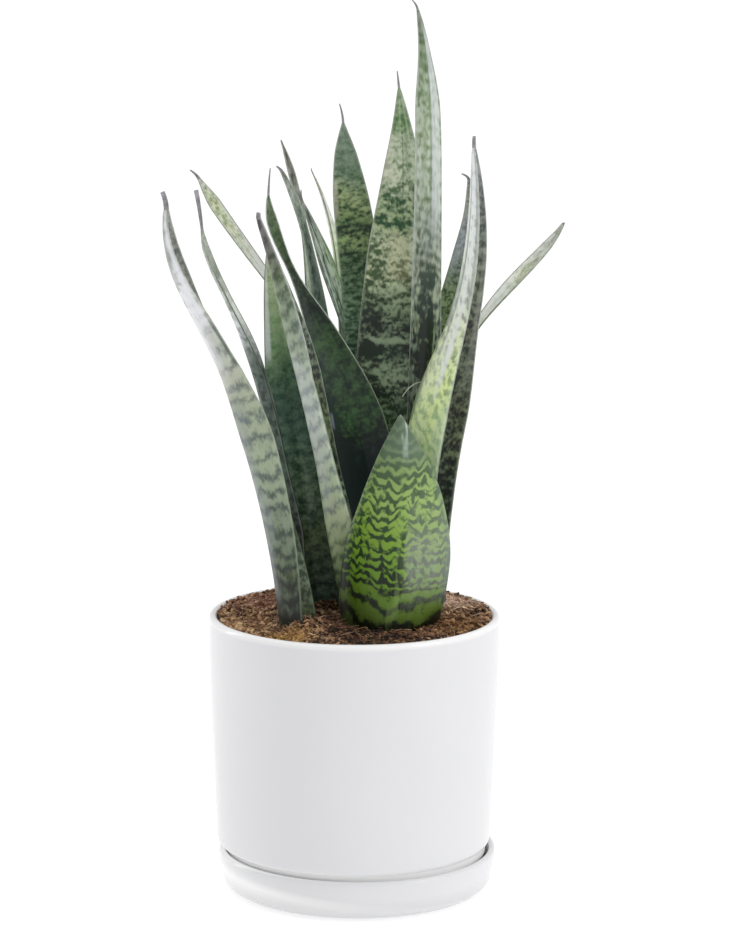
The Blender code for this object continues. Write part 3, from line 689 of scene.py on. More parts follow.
def leaf_skin(name, pale, dark, zones, shift, period=6.0, low=None, band=0.3, scallop=0.45, cell=5.0,
              sway=0.5, slant=0.0, fine=(0.16, 1.4, 1.8), broad=(0.26, 5.0, 3.6), soft=0.8, fray=0.18,
              wax="9aa59a", wax_mix=0.05, streak=0.08, scales=None, patches=(), veils_of_tint_and_sheen=(), stripes_of_tint_and_sheen=(),
              light=((0, 1.0),)):
    """A mottled leaf skin.

    pale, dark and zones are lists by mm from the foot: two colours, and how much is dark.
    light, by mm too, is how much paler both colours are made in the shade.
    A band every period mm, or as low says: up to what mm, how many mm each. band is how
    strong the bands are, and scallop, cell, sway, slant and fray how they bend, how wide
    their scallops are, and how they wander, lean and fray. fine and broad are specks and
    blots: strength, size across and along. scales are the dark lines round cells. soft is
    how gently pale goes to dark. wax lies in clouds, wax_mix, and on the veins, streak.
    A patch darkens, and a veil tints, a window of the blade in mm. A stripe is a veil whose places across
    are shares of the half width. The near white and lilac veils and stripes are painted sheen and painted
    highlights, and some patches and dark veils are painted shade. shift gives each skin noise of its own.
    """
    made, tree = new_material(name)
    uv = put(tree, "ShaderNodeUVMap", uv_map="place")
    place = put(tree, "ShaderNodeVectorMath", {0: uv, 1: (UV_MM, UV_MM, 0.0)}, operation="MULTIPLY")
    apart = put(tree, "ShaderNodeSeparateXYZ", {0: place}).node
    side, up = apart.outputs["X"], apart.outputs["Y"]
    share = put(tree, "ShaderNodeAttribute", out="Fac", attribute_name="share")
    # noise of each size: mm across, mm along, detail
    bend = clouds(tree, place, 26.0, 36.0, 1.0, shift)
    specks = clouds(tree, place, fine[1], fine[2], 1.0, shift + 6.0)
    blots = clouds(tree, place, broad[1], broad[2], 1.0, shift + 8.0)
    wax_cloud = clouds(tree, place, 5.0, 24.0, 2.0, shift + 12.0)
    grain = clouds(tree, place, 0.7, 0.9, 2.0, shift + 14.0)
    fan = put(tree, "ShaderNodeCombineXYZ", {0: share, 1: up, 2: 0.0})
    veins = clouds(tree, fan, 1 / 14, 30.0, 2.0, shift + 10.0)
    # places that wander by a few mm, so that no patch has a straight edge
    both = put(tree, "ShaderNodeCombineXYZ", {0: wax_cloud, 1: blots})
    wander = put(tree, "ShaderNodeVectorMath", {0: both, 1: (*WANDER, 0.0), 2: place},
                 operation="MULTIPLY_ADD")
    half_way = (WANDER[0] / 2, WANDER[1] / 2, 0.0)
    loose = put(tree, "ShaderNodeVectorMath", {0: wander, 1: half_way}, operation="SUBTRACT")
    level = put(tree, "ShaderNodeMath", {0: bend, 1: LEVEL_SWAY, 2: up}, operation="MULTIPLY_ADD")
    height = put(tree, "ShaderNodeMapRange", {0: level, 1: LEVEL_SWAY / 2, 2: LEVEL_SWAY / 2 + BLADE_REACH})
    # how dark this place is: each part goes from about -1 to 1 times its strength
    wave, wavy = band_wave(tree, place, side, up, bend, period, low, slant, sway, cell, scallop, fray, shift)
    amount = put(tree, "ShaderNodeValToRGB", {"Fac": height},
                 stops=[(mm / BLADE_REACH, (v, v, v, 1.0)) for mm, v in zones])
    below = -1.0 - band - SPREAD / 2 * (fine[0] + broad[0])
    amount = put(tree, "ShaderNodeMath", {0: amount, 1: 2.0, 2: below}, operation="MULTIPLY_ADD")
    parts = [(wave, 4.0 * band), (specks, SPREAD * fine[0]), (blots, SPREAD * broad[0])]
    if scales:
        parts.append((cell_lines(tree, side, up, bend, wavy, scales, shift), 1.0))
    parts += [(window(tree, loose, across, along), strength) for across, along, strength in patches]
    for value, factor in parts:
        amount = put(tree, "ShaderNodeMath", {0: value, 1: factor, 2: amount}, operation="MULTIPLY_ADD")
    is_dark = put(tree, "ShaderNodeMapRange", {0: amount, 1: -soft, 2: soft},
                  interpolation_type="SMOOTHSTEP")
    pale_tone, dark_tone = (
        put(tree, "ShaderNodeValToRGB", {"Fac": height},
            stops=[(mm / BLADE_REACH, skin_colour(hue, light_at(light, mm))) for mm, hue in run])
        for run in (pale, dark))
    skin = put(tree, "ShaderNodeMixRGB", {0: is_dark, 1: pale_tone, 2: dark_tone})
    # veins and cloudy wax show less on the dark parts
    vein = put(tree, "ShaderNodeMapRange", {0: veins, 1: 0.40, 2: 0.75, 4: streak},
               interpolation_type="SMOOTHSTEP")
    cloudy = put(tree, "ShaderNodeMapRange", {0: wax_cloud, 1: 0.3, 2: 0.75, 3: wax_mix * 0.3,
                                              4: wax_mix * 1.7})
    for haze in (vein, cloudy):
        shown = put(tree, "ShaderNodeMapRange", {0: is_dark, 3: haze, 4: 0.0})
        skin = put(tree, "ShaderNodeMixRGB", {0: shown, 1: skin, 2: skin_colour(wax)})
    loose_up = put(tree, "ShaderNodeSeparateXYZ", {0: loose}, out="Y")
    shares = put(tree, "ShaderNodeCombineXYZ", {0: share, 1: loose_up})
    for spot, tints in ((loose, veils_of_tint_and_sheen), (shares, stripes_of_tint_and_sheen)):
        for across, along, strength, colour in tints:
            veil = put(tree, "ShaderNodeMapRange", {0: veins, 1: 0.3, 2: 0.7, 3: strength * 0.6,
                                                    4: strength})
            veil = put(tree, "ShaderNodeMath", {0: veil, 1: window(tree, spot, across, along)},
                       operation="MULTIPLY")
            tint = skin_colour(colour, light_at(light, (along[1] + along[2]) / 2))
            skin = put(tree, "ShaderNodeMixRGB", {0: veil, 1: skin, 2: tint})
    rim = put(tree, "ShaderNodeAttribute", out="Fac", attribute_name="rim")
    at_margin = put(tree, "ShaderNodeMapRange", {0: rim, 1: 0.1, 2: 0.9, 3: 0.25, 4: 0.0})
    skin = put(tree, "ShaderNodeMixRGB", {0: at_margin, 1: skin, 2: skin_colour(wax)})
    ribs = put(tree, "ShaderNodeBump", {"Height": veins, "Strength": 0.22, "Distance": RIB_H})
    relief = put(tree, "ShaderNodeBump", {"Height": grain, "Strength": 0.08, "Distance": GRAIN_H,
                                          "Normal": ribs})
    gloss = put(tree, "ShaderNodeMapRange", {0: wax_cloud, 1: 0.2, 2: 0.8, 3: GLOSSIEST, 4: DULLEST})
    shader = put(tree, "ShaderNodeBsdfPrincipled", {"Base Color": skin, "Roughness": gloss, "IOR": 1.38,
                                                    "Normal": relief})
    put(tree, "ShaderNodeOutputMaterial", {"Surface": shader})
    return made


# %% Margin and point
SHADES, SHADES_H = 3.0 * MM, 0.3 * MM   # size and relief of the darker patches


def slim_part(name, attribute, colours, rough):
    """A slim part of the blade: colours along an attribute, with 3 mm patches of a darker shade."""
    made, tree = new_material(name)
    spot = put(tree, "ShaderNodeTexCoord", out="Object")
    patches = put(tree, "ShaderNodeTexNoise", {"Vector": spot, "Scale": 1 / SHADES, "Detail": 2.0})
    place = put(tree, "ShaderNodeAttribute", out="Fac", attribute_name=attribute)
    tone = put(tree, "ShaderNodeValToRGB", {"Fac": place}, stops=[(at, linear(hue)) for at, hue in colours])
    shade = put(tree, "ShaderNodeMapRange", {0: patches, 1: 0.4, 2: 0.6, 3: 0.0, 4: 0.35})
    tone = put(tree, "ShaderNodeMixRGB", {0: shade, 1: tone, 2: linear("3c4436")})
    grain = put(tree, "ShaderNodeBump", {"Height": patches, "Strength": 0.2, "Distance": SHADES_H})
    shader = put(tree, "ShaderNodeBsdfPrincipled", {"Base Color": tone, "Roughness": rough, "Normal": grain})
    put(tree, "ShaderNodeOutputMaterial", {"Surface": shader})
    return made


# Painted shade: both margins are painted darker low on the blade, where shade falls deep in the plant, and
# the rear blades' margin darker still.
front_margin = slim_part("pale horny margin", "along", rough=0.5, colours=[
    (0.1, "38442a"), (0.2, "7c8c68"), (0.4, "a4b098"), (0.6, "c4c8c0")])
rear_margin = slim_part("shaded horny margin", "along", rough=0.5, colours=[
    (0.1, "141a12"), (0.35, "2c382a"), (0.5, "7c8c70"), (0.6, "b0b8a8")])
dry_point = slim_part("dry leaf point", "tipward", rough=0.6, colours=[
    (0.0, "a8a4a6"), (0.3, "8c888c"), (0.8, "9c98a0"), (1.0, "c0bcc4")])
print("slim parts:", ", ".join(look.name for look in (front_margin, rear_margin, dry_point)))

# %% [markdown]
# Each blade has a back and a face, and no two are mottled alike. Blades in front are fresh green and those
# at the back darker, and the near white high on blades that lean out to the light is painted sheen. So every
# blade gets its own handful of values here, first those of its back. A second set, where there is one, is
# for its face. Across a blade, places are minus on one half and plus on the other.

# %% Skins of the front blades
SKINS = {}
SKINS["leaf_01"] = [dict(
    pale=[(38, "3c4612"), (48, "52680c"), (66, "688e22"), (88, "7ea03c"), (106, "8eaa5c"), (122, "80985e"),
          (134, "6c7e64"), (150, "667864")],
    dark=[(38, "141a0a"), (50, "1a280c"), (68, "22381a"), (88, "344e2c"), (108, "445a3c"), (122, "4e6248"),
          (134, "5c6e58"), (150, "5a6a58")],
    zones=[(36, 0.56), (46, 0.42), (60, 0.4), (66, 0.38), (76, 0.36), (100, 0.36), (110, 0.4), (120, 0.5),
           (138, 0.58), (150, 0.5)],
    light=[(30, 1.4), (50, 1.2), (70, 1.1), (90, 1.1), (110, 1.2), (150, 1.15)],
    period=5.6, low=(60, 10.5), band=0.74, scallop=0.48, sway=0.55, fine=(0.16, 1.4, 1.6), soft=0.48,
    fray=0.09, wax="93a382", wax_mix=0.04, streak=0.06, scales=(0.78, 7.4, 5.6, 62, 122),
    patches=[((-12, -6, 4, 8), (56, 62, 72, 80), 0.45), ((-60, -34, -33, -28), (40, 60, 110, 124), 0.8),
             ((27, 33, 36, 60), (44, 60, 104, 118), 0.8), ((-90, -80, -20, -8), (34, 36, 40, 44), 0.5)],
    # the lilac veil is painted sheen, and the pale veil at the keel near the neck is a painted glint
    veils_of_tint_and_sheen=[((-37, -31, -5, -1), (48, 66, 96, 122), 0.36, "a0ab90"),
           ((-36, -28, -7, -2), (60, 70, 84, 98), 0.22, "a8a8b0"),
           ((-3.2, -2.4, -1.6, -0.6), (124, 146, 160, 170), 0.6, "ccd4d0"),
           ((-1.6, -0.4, 0.4, 1.2), (36, 46, 110, 130), 0.3, "8ca468")],
    stripes_of_tint_and_sheen=[((-2, -0.99, -0.93, -0.8), (50, 70, 118, 130), 0.5, "6f8074"),
             ((0.8, 0.93, 0.99, 2), (60, 76, 118, 130), 0.4, "5c6c58")])]
SKINS["leaf_02"] = [dict(
    pale=[(40, "2a3424"), (55, "3e4a30"), (70, "566644"), (90, "7c8a70"), (110, "98a48a"), (130, "a4b094"),
          (150, "aab49a"), (170, "b4baa4"), (190, "c2c6bc"), (215, "ccceca"), (235, "c8cac8"),
          (262, "d2d4d6")],
    dark=[(40, "1c241e"), (55, "283228"), (70, "344032"), (90, "525f54"), (110, "5c6860"), (130, "66726c"),
          (150, "727c76"), (170, "7c847c"), (215, "90948e"), (262, "949798")],
    zones=[(40, 0.7), (60, 0.6), (90, 0.46), (120, 0.4), (170, 0.4), (200, 0.36), (235, 0.42), (262, 0.45)],
    light=[(30, 2.0), (50, 1.15), (70, 0.85), (90, 0.85), (110, 0.95), (190, 1.05), (205, 1.35),
           (225, 1.25)],
    period=9.5, band=0.62, scallop=0.32, broad=(0.24, 5.0, 4.0), soft=0.7, fray=0.25, wax="b8bfb8",
    wax_mix=0.06, streak=0.14,
    veils_of_tint_and_sheen=[((-9, -5, 5, 9), (46, 70, 150, 170), 0.5, "969ba2")],
    # the four near white stripes are painted highlights along the keel and the margin
    stripes_of_tint_and_sheen=[((-0.6, -0.1, 0.3, 0.8), (158, 196, 206, 222), 1.0, "fafaff"),
             ((-0.95, -0.78, -0.34, -0.1), (196, 210, 224, 238), 1.0, "f6f6fc"),
             ((-1.6, -1.2, -0.8, -0.6), (216, 232, 266, 276), 0.9, "f0f0f6"),
             ((-0.62, -0.5, -0.12, 0.02), (222, 236, 262, 272), 0.8, "868c86"),
             ((0.1, 0.2, 0.4, 0.6), (236, 250, 266, 276), 0.7, "e6e6ea"),
             ((-2.0, -1.5, -0.92, -0.8), (172, 182, 200, 210), 0.9, "4c564c")]),
    dict(pale=[(40, "404832"), (60, "687460"), (80, "4c584a"), (200, "8c9086"), (235, "888c82"),
               (262, "9a9c98")],
         dark=[(40, "242a1e"), (60, "323c30"), (80, "28322a"), (210, "5c605a"), (235, "585c56"),
               (262, "6c6e6c")],
         zones=[(40, 0.6), (90, 0.6), (200, 0.5), (262, 0.4)],
         light=[(40, 2.6), (80, 1.9), (230, 1.25)],
         period=8.0, band=0.5, fine=(0.4, 1.4, 2.0), broad=(0.35, 5.0, 5.0),
         stripes_of_tint_and_sheen=[((0.75, 0.9, 1.0, 2.0), (180, 200, 250, 262), 0.5, "6a6c68")])]
SKINS["leaf_03"] = [dict(
    pale=[(50, "384630"), (65, "5c6e46"), (85, "86926c"), (100, "9ea886"), (115, "a2b090"), (130, "b0baa8"),
          (150, "bac4b6"), (170, "b6c0b2"), (190, "a0ac96"), (210, "8e9c84"), (226, "808a72"),
          (238, "6c6e66"), (250, "6a666a")],
    dark=[(50, "212c1c"), (65, "34422c"), (85, "5a6850"), (100, "6a746c"), (115, "6c7872"), (130, "78827e"),
          (150, "868f8e"), (170, "848e8a"), (190, "6a786e"), (210, "5c6a58"), (226, "52604a"),
          (240, "4c4a48"), (250, "545054")],
    zones=[(50, 0.7), (70, 0.5), (85, 0.4), (110, 0.36), (190, 0.42), (210, 0.5), (240, 0.5), (255, 0.4)],
    light=[(50, 3.0), (70, 1.8), (90, 1.65), (110, 1.55), (150, 1.55), (180, 1.27), (220, 1.08)],
    period=9.0, band=0.62, scallop=0.28, cell=4.5, sway=0.4, slant=0.3, broad=(0.24, 5.0, 4.5), soft=0.75,
    fray=0.25, wax="c5ccc6", wax_mix=0.07, streak=0.12,
    patches=[((-30, -20, -16, -10), (176, 184, 200, 210), 0.5)],
    veils_of_tint_and_sheen=[((-24, -16, -13, -9), (186, 192, 204, 212), 0.5, "8c8fa5"),
           ((-12, -8, -4, -1), (96, 110, 176, 186), 0.22, "b6b6c2")]),
    dict(pale=[(85, "60685a"), (108, "7c8374"), (125, "687258"), (145, "8c9c68"), (165, "8c9a78"),
               (185, "a4b0a0"), (200, "98a094"), (215, "7c8a70")],
         dark=[(85, "323a33"), (108, "282e28"), (125, "161d18"), (145, "24301e"), (165, "263628"),
               (185, "2a3830"), (205, "3a4a36")],
         zones=[(85, 0.5), (108, 0.5), (125, 0.6), (150, 0.55), (165, 0.6), (190, 0.5), (215, 0.7)],
         light=[(90, 3.4), (110, 2.4), (130, 1.3), (150, 1.0), (190, 1.1)],
         fine=(0.4, 1.6, 2.4), broad=(0.4, 4.0, 5.0), soft=0.7,
         stripes_of_tint_and_sheen=[((0.3, 0.5, 1.0, 2.0), (100, 120, 190, 200), 0.6, "24342a")])]
SKINS["leaf_04"] = [dict(
    pale=[(120, "b8ce94"), (140, "c4d692"), (158, "c4d488"), (175, "c8d69c"), (190, "d0dab4"),
          (205, "d4dcc6"), (240, "dce2dc"), (285, "dcdee0")],
    dark=[(120, "6c8458"), (140, "788e68"), (158, "7c8e64"), (175, "869672"), (200, "90988a"),
          (230, "a6aca2"), (285, "b4b8b8")],
    zones=[(120, 0.44), (145, 0.44), (180, 0.42), (200, 0.38), (240, 0.3), (285, 0.3)],
    light=[(120, 2.8), (130, 2.6), (150, 1.8), (170, 1.32), (200, 1.28)],
    period=7.5, band=0.55, scallop=0.32, cell=3.6, sway=0.7, slant=-0.9, fine=(0.2, 1.4, 1.8),
    broad=(0.36, 4.5, 4.0), soft=0.62, fray=0.3, wax="e4e8e8", wax_mix=0.1, streak=0.25,
    patches=[((-6, -4, 2, 4), (134, 144, 160, 172), 1.2), ((-8, -3, 0, 5), (180, 198, 206, 232), 1.1)],
    veils_of_tint_and_sheen=[((-7, -5, 2, 4), (134, 144, 160, 172), 0.6, "5c6650"),
           ((-8, -3, 0, 5), (180, 198, 206, 232), 0.5, "707a66"),
           ((-19, -14, -6, -3), (142, 160, 184, 200), 0.4, "d4dace"),
           ((-90, -40, -28, -24), (110, 125, 180, 196), 0.5, "8c988c")],
    # the three near white stripes are painted highlights along the keel
    stripes_of_tint_and_sheen=[((-0.8, -0.72, -0.66, -0.56), (150, 172, 300, 310), 0.85, "f2f4f8"),
             ((-0.56, -0.5, -0.46, -0.4), (166, 186, 300, 310), 0.7, "f0f2f6"),
             ((-0.48, -0.43, -0.38, -0.33), (170, 190, 270, 290), 0.85, "7c8a74"),
             ((-0.36, -0.3, -0.2, -0.12), (186, 206, 300, 310), 0.5, "eceff2"),
             ((-0.14, -0.06, 0.0, 0.08), (196, 232, 280, 290), 0.6, "8a9484"),
             ((-2, -1.5, -0.88, -0.82), (196, 212, 300, 310), 0.8, "868e88")]),
    dict(pale=[(85, "626e5a"), (105, "4e5c4a"), (115, "56644c"), (130, "788660"), (150, "74805e"),
               (170, "848e76"), (190, "868e78"), (210, "9aa28a"), (240, "969e92"), (265, "a0a4a4"),
               (285, "b8bab8")],
         dark=[(85, "262f25"), (110, "1f2820"), (130, "202a22"), (150, "2c342b"), (170, "3f473c"),
               (190, "3c4238"), (210, "50584c"), (240, "5c645c"), (285, "6c7070")],
         zones=[(85, 0.6), (105, 0.8), (115, 0.72), (128, 0.58), (140, 0.56), (150, 0.66), (165, 0.55),
                (190, 0.55), (250, 0.5), (285, 0.5)],
         light=[(90, 1.6), (115, 1.25), (130, 0.95), (170, 0.88), (210, 0.78), (265, 0.8)],
         period=7.0, fine=(0.34, 1.5, 2.2), broad=(0.45, 5.0, 4.5), soft=0.75, wax="a5ada8",
         stripes_of_tint_and_sheen=[((0.8, 0.88, 0.92, 0.98), (150, 190, 230, 240), 0.5, "c0c4bc")])]
SKINS["leaf_05"] = [dict(
    pale=[(90, "1c2324"), (112, "1c2324"), (128, "34482e"), (140, "3c5836"), (150, "405838"),
          (165, "465c44"), (182, "4a6640"), (200, "3a4c3a"), (222, "5a6c56"), (240, "627a50"),
          (262, "76886c")],
    dark=[(90, "171d1e"), (118, "181f20"), (130, "1a2423"), (145, "20302a"), (200, "222e28"),
          (222, "303f2b"), (240, "344a2c"), (262, "485c42")],
    zones=[(90, 1.0), (112, 1.0), (124, 0.8), (134, 0.6), (146, 0.56), (156, 0.66), (166, 0.58),
           (176, 0.54), (184, 0.5), (192, 0.62), (208, 0.66), (222, 0.7), (230, 0.6), (240, 0.45),
           (262, 0.45)],
    light=[(90, 5.4), (110, 4.6), (130, 2.2), (150, 1.8), (170, 1.2), (190, 0.9), (210, 0.85), (230, 0.8),
           (250, 0.65), (262, 1.0)],
    period=6.5, band=0.24, scallop=0.3, fine=(0.3, 2.0, 1.8), broad=(0.36, 4.5, 6.0), soft=0.9, fray=0.3,
    wax="6c7c70", wax_mix=0.02, streak=0.06,
    # the patch and the dark veil over the same half are painted shade where that half turns into shadow, and
    # the small lilac veil is a painted glint
    patches=[((-90, -30, -11, -6), (60, 70, 146, 168), 1.0)],
    veils_of_tint_and_sheen=[((-13.5, -12.4, -11.6, -10.4), (138, 141, 144, 149), 0.5, "a0a0b0"),
           ((-90, -30, -11, -6), (130, 142, 160, 176), 0.3, "26343a")],
    stripes_of_tint_and_sheen=[((-0.1, 0.0, 0.05, 0.15), (136, 150, 196, 210), 0.3, "4a6448"),
             ((0.35, 0.45, 0.55, 0.65), (136, 150, 180, 190), 0.25, "466440"),
             ((-0.75, -0.62, -0.56, -0.46), (166, 176, 196, 206), 0.35, "3c5254")])]
SKINS["leaf_06"] = [dict(
    pale=[(70, "363e34"), (100, "465048"), (120, "56665a"), (140, "627066"), (165, "6a7870"),
          (176, "7c8682"), (188, "bcc0c4"), (210, "c0c4c0"), (244, "c4cac2")],
    dark=[(70, "1a201a"), (100, "2a332f"), (120, "303c34"), (140, "3c4740"), (165, "424b46"),
          (182, "5e6662"), (205, "848880"), (244, "80867e")],
    zones=[(70, 0.6), (110, 0.55), (150, 0.55), (185, 0.5), (200, 0.4), (244, 0.4)],
    light=[(70, 1.2), (150, 1.1), (170, 0.8), (188, 1.6), (230, 1.1)],
    period=7.0, band=0.25, fine=(0.24, 1.4, 2.0), broad=(0.42, 4.0, 4.5), wax="a8b0ac",
    # the near white stripe is a painted highlight
    stripes_of_tint_and_sheen=[((-0.45, -0.3, 0.6, 1), (180, 190, 216, 236), 0.6, "f0f0f4"),
             ((-0.4, -0.2, 0.6, 1), (124, 140, 154, 166), 0.4, "a0aaa6")]),
    dict(pale=[(150, "566258"), (168, "566058"), (180, "a8acaa"), (195, "d6d8d8"), (212, "d6d8d2"),
               (228, "a0a69c"), (245, "bcc0b8")],
         dark=[(150, "3c4840"), (168, "3c4640"), (182, "787c7a"), (200, "a4a8a0"), (225, "7c8276"),
               (245, "8c9286")],
         zones=[(135, 0.6), (165, 0.6), (182, 0.4), (212, 0.3), (220, 0.5), (245, 0.5)],
         light=[(150, 2.2), (162, 0.9), (174, 0.8), (188, 2.1), (210, 2.4), (230, 1.2)],
         period=8.0, band=0.2, fine=(0.3, 1.4, 2.0), broad=(0.4, 4.0, 4.5), wax="c0c4c0")]

# %% Skins of the rear blades
SKINS["leaf_07"] = [dict(
    pale=[(140, "607058"), (170, "586854"), (188, "889a78"), (205, "a4b094"), (225, "b8c0ae"),
          (245, "c6d0c0"), (265, "d6e0d0"), (290, "ccd8c2"), (315, "c4d0bc"), (330, "aebf9e"),
          (350, "b4bcb0")],
    dark=[(140, "243220"), (170, "242e26"), (190, "2e3832"), (205, "444e48"), (225, "5c6a5a"),
          (245, "6f7f66"), (265, "84966f"), (290, "7c9066"), (315, "7a9068"), (335, "68845c"),
          (350, "74806f")],
    zones=[(140, 0.66), (172, 0.66), (186, 0.58), (200, 0.52), (214, 0.54), (226, 0.52), (236, 0.46),
           (262, 0.42), (300, 0.46), (330, 0.52), (350, 0.5)],
    light=[(150, 1.4), (170, 1.4), (190, 1.3), (210, 1.05), (230, 0.9), (250, 0.84), (310, 0.92),
           (345, 0.5)],
    band=0.25, scallop=0.4, fine=(0.3, 1.3, 4.0), broad=(0.36, 2.6, 8.0), soft=0.78, wax="d8ded6",
    wax_mix=0.06, streak=0.24,
    patches=[((-5.0, -3.0, 1.5, 4.5), (150, 182, 210, 226), 0.75)],
    # the near white stripe over one half is painted sheen
    stripes_of_tint_and_sheen=[((-2, -1.5, -0.96, -0.9), (228, 262, 340, 352), 0.5, "8c9c86"),
             ((-0.9, -0.78, -0.24, -0.14), (222, 256, 336, 350), 0.72, "e4e8ec"),
             ((-0.22, -0.16, -0.1, -0.02), (236, 262, 340, 350), 0.6, "6c8a60"),
             ((0.05, 0.2, 0.45, 0.6), (232, 262, 330, 345), 0.3, "94b080"),
             ((0.72, 0.82, 1.0, 2.0), (180, 230, 330, 350), 0.5, "c8d2c8"),
             ((-0.35, -0.15, 0.1, 0.3), (222, 230, 242, 256), 0.35, "8c9a94")])]
SKINS["leaf_08"] = [dict(
    pale=[(40, "29322b"), (60, "353f32"), (75, "464f38"), (85, "424f3e"), (100, "4c5a48"), (125, "485a4c"),
          (150, "4a6050"), (163, "5a7458"), (175, "7a946c"), (195, "90a67e"), (212, "a6b692"),
          (225, "b0ba9c")],
    dark=[(40, "121714"), (60, "191f19"), (80, "1f2920"), (100, "1f2b22"), (125, "2a3a32"), (150, "304238"),
          (163, "2c4636"), (175, "4f724a"), (195, "648457"), (212, "72865c"), (225, "8a9070")],
    zones=[(40, 0.66), (60, 0.6), (75, 0.54), (85, 0.62), (97, 0.5), (110, 0.58), (125, 0.54), (137, 0.6),
           (148, 0.6), (160, 0.55), (167, 0.5), (171, 0.46), (200, 0.42), (225, 0.35)],
    light=[(30, 13.0), (50, 9.0), (70, 4.8), (90, 4.5), (110, 3.1), (130, 2.4), (150, 1.85), (170, 1.25),
           (190, 1.3)],
    period=7.0, band=0.22, scallop=0.25, fine=(0.24, 1.8, 1.6), broad=(0.34, 6.0, 4.5), soft=0.9, fray=0.3,
    wax="93a394", wax_mix=0.03, streak=0.12,
    stripes_of_tint_and_sheen=[((-2, -1.5, -0.8, -0.6), (166, 178, 214, 226), 0.7, "d6d6dc"),
             ((0.0, 0.15, 0.3, 0.45), (172, 182, 214, 222), 0.35, "b4c49c"),
             ((0.55, 0.7, 0.9, 1.0), (80, 92, 158, 170), 0.25, "6a7a72")])]
SKINS["leaf_09"] = [dict(
    pale=[(130, "60745c"), (150, "5a6e54"), (160, "78896e"), (166, "78896e"), (172, "5c6e58"),
          (178, "7e8e74"), (186, "6c7e64"), (196, "7e9072"), (207, "a6b290"), (216, "b8c09e"),
          (232, "bec6a6"), (240, "9cac84"), (250, "a0b08a"), (262, "c2cab2"), (284, "c4ccb4"),
          (290, "a0b88e"), (310, "a8b8a0")],
    dark=[(130, "20301e"), (150, "1e2e20"), (185, "222d25"), (200, "34422e"), (212, "46563c"),
          (228, "4c6044"), (240, "34503a"), (256, "38543a"), (264, "708464"), (284, "5c8050"),
          (300, "64805c"), (310, "607a58")],
    zones=[(130, 0.56), (150, 0.66), (158, 0.7), (163, 0.26), (168, 0.66), (173, 0.86), (178, 0.3),
           (184, 0.66), (192, 0.55), (200, 0.6), (207, 0.5), (216, 0.42), (232, 0.34), (237, 0.44),
           (241, 0.64), (246, 0.5), (252, 0.48), (257, 0.64), (261, 0.54), (266, 0.4), (284, 0.4),
           (290, 0.5), (310, 0.5)],
    light=[(130, 3.8), (150, 2.0), (170, 1.65), (190, 1.25), (210, 1.35), (230, 1.12), (250, 1.2),
           (270, 1.08), (290, 0.85), (310, 1.05)],
    period=5.6, band=0.36, scallop=0.5, cell=3.2, fine=(0.24, 1.8, 1.7), broad=(0.36, 5.5, 3.2), soft=0.72,
    fray=0.3, wax="b4beaa", wax_mix=0.04, streak=0.1,
    patches=[((-90, -80, -15, -4), (120, 140, 196, 210), 0.35),
             ((-90, -80, -14, -7), (205, 212, 228, 238), 0.6)],
    veils_of_tint_and_sheen=[((-10, -4, 2, 8), (206, 214, 228, 238), 0.22, "b8ac88"),
           ((5, 7, 20, 30), (210, 222, 282, 292), 0.35, "d4dacc"),
           ((-14, -12, -6, -3), (258, 266, 280, 288), 0.5, "dcd8c8")],
    stripes_of_tint_and_sheen=[((-0.06, -0.01, 0.04, 0.09), (244, 252, 290, 300), 0.55, "3e5034"),
             ((-0.45, -0.3, -0.2, -0.05), (278, 290, 320, 330), 0.4, "bcd2aa"),
             ((0.1, 0.22, 0.34, 0.46), (258, 270, 320, 330), 0.35, "5c8054"),
             ((0.46, 0.56, 0.66, 0.78), (262, 275, 320, 330), 0.45, "cadabc")])]
SKINS["leaf_10"] = [dict(
    pale=[(40, "3a4a34"), (100, "54684a"), (150, "7c8e6c"), (178, "b4bca8"), (190, "ecece6"),
          (210, "ecefea"), (225, "e0e4d4"), (231, "d8dcb8"), (240, "dcdfd2"), (250, "d4d7d0"),
          (262, "c8c8c0")],
    dark=[(40, "1e2a1e"), (100, "2e3e2c"), (150, "4c5e44"), (178, "8c9484"), (190, "b8bab4"),
          (212, "acb2a8"), (228, "8c9878"), (240, "929a86"), (262, "8c9084")],
    zones=[(40, 0.6), (150, 0.5), (190, 0.3), (215, 0.35), (230, 0.5), (245, 0.48), (262, 0.5)],
    light=[(150, 1.0), (190, 1.7), (210, 1.5), (230, 1.3), (250, 0.98)],
    band=0.25, fine=(0.25, 1.2, 2.0), broad=(0.3, 2.5, 5.0), wax="e4e8e4", wax_mix=0.08, streak=0.3,
    # the near white stripe is a painted highlight
    stripes_of_tint_and_sheen=[((-2, -1.5, -0.5, -0.3), (190, 205, 245, 255), 0.5, "fafcfa"),
             ((0.05, 0.2, 0.3, 0.45), (196, 206, 250, 262), 0.5, "9aa494"),
             ((0.66, 0.8, 2, 3), (200, 215, 240, 262), 0.35, "969e90")])]
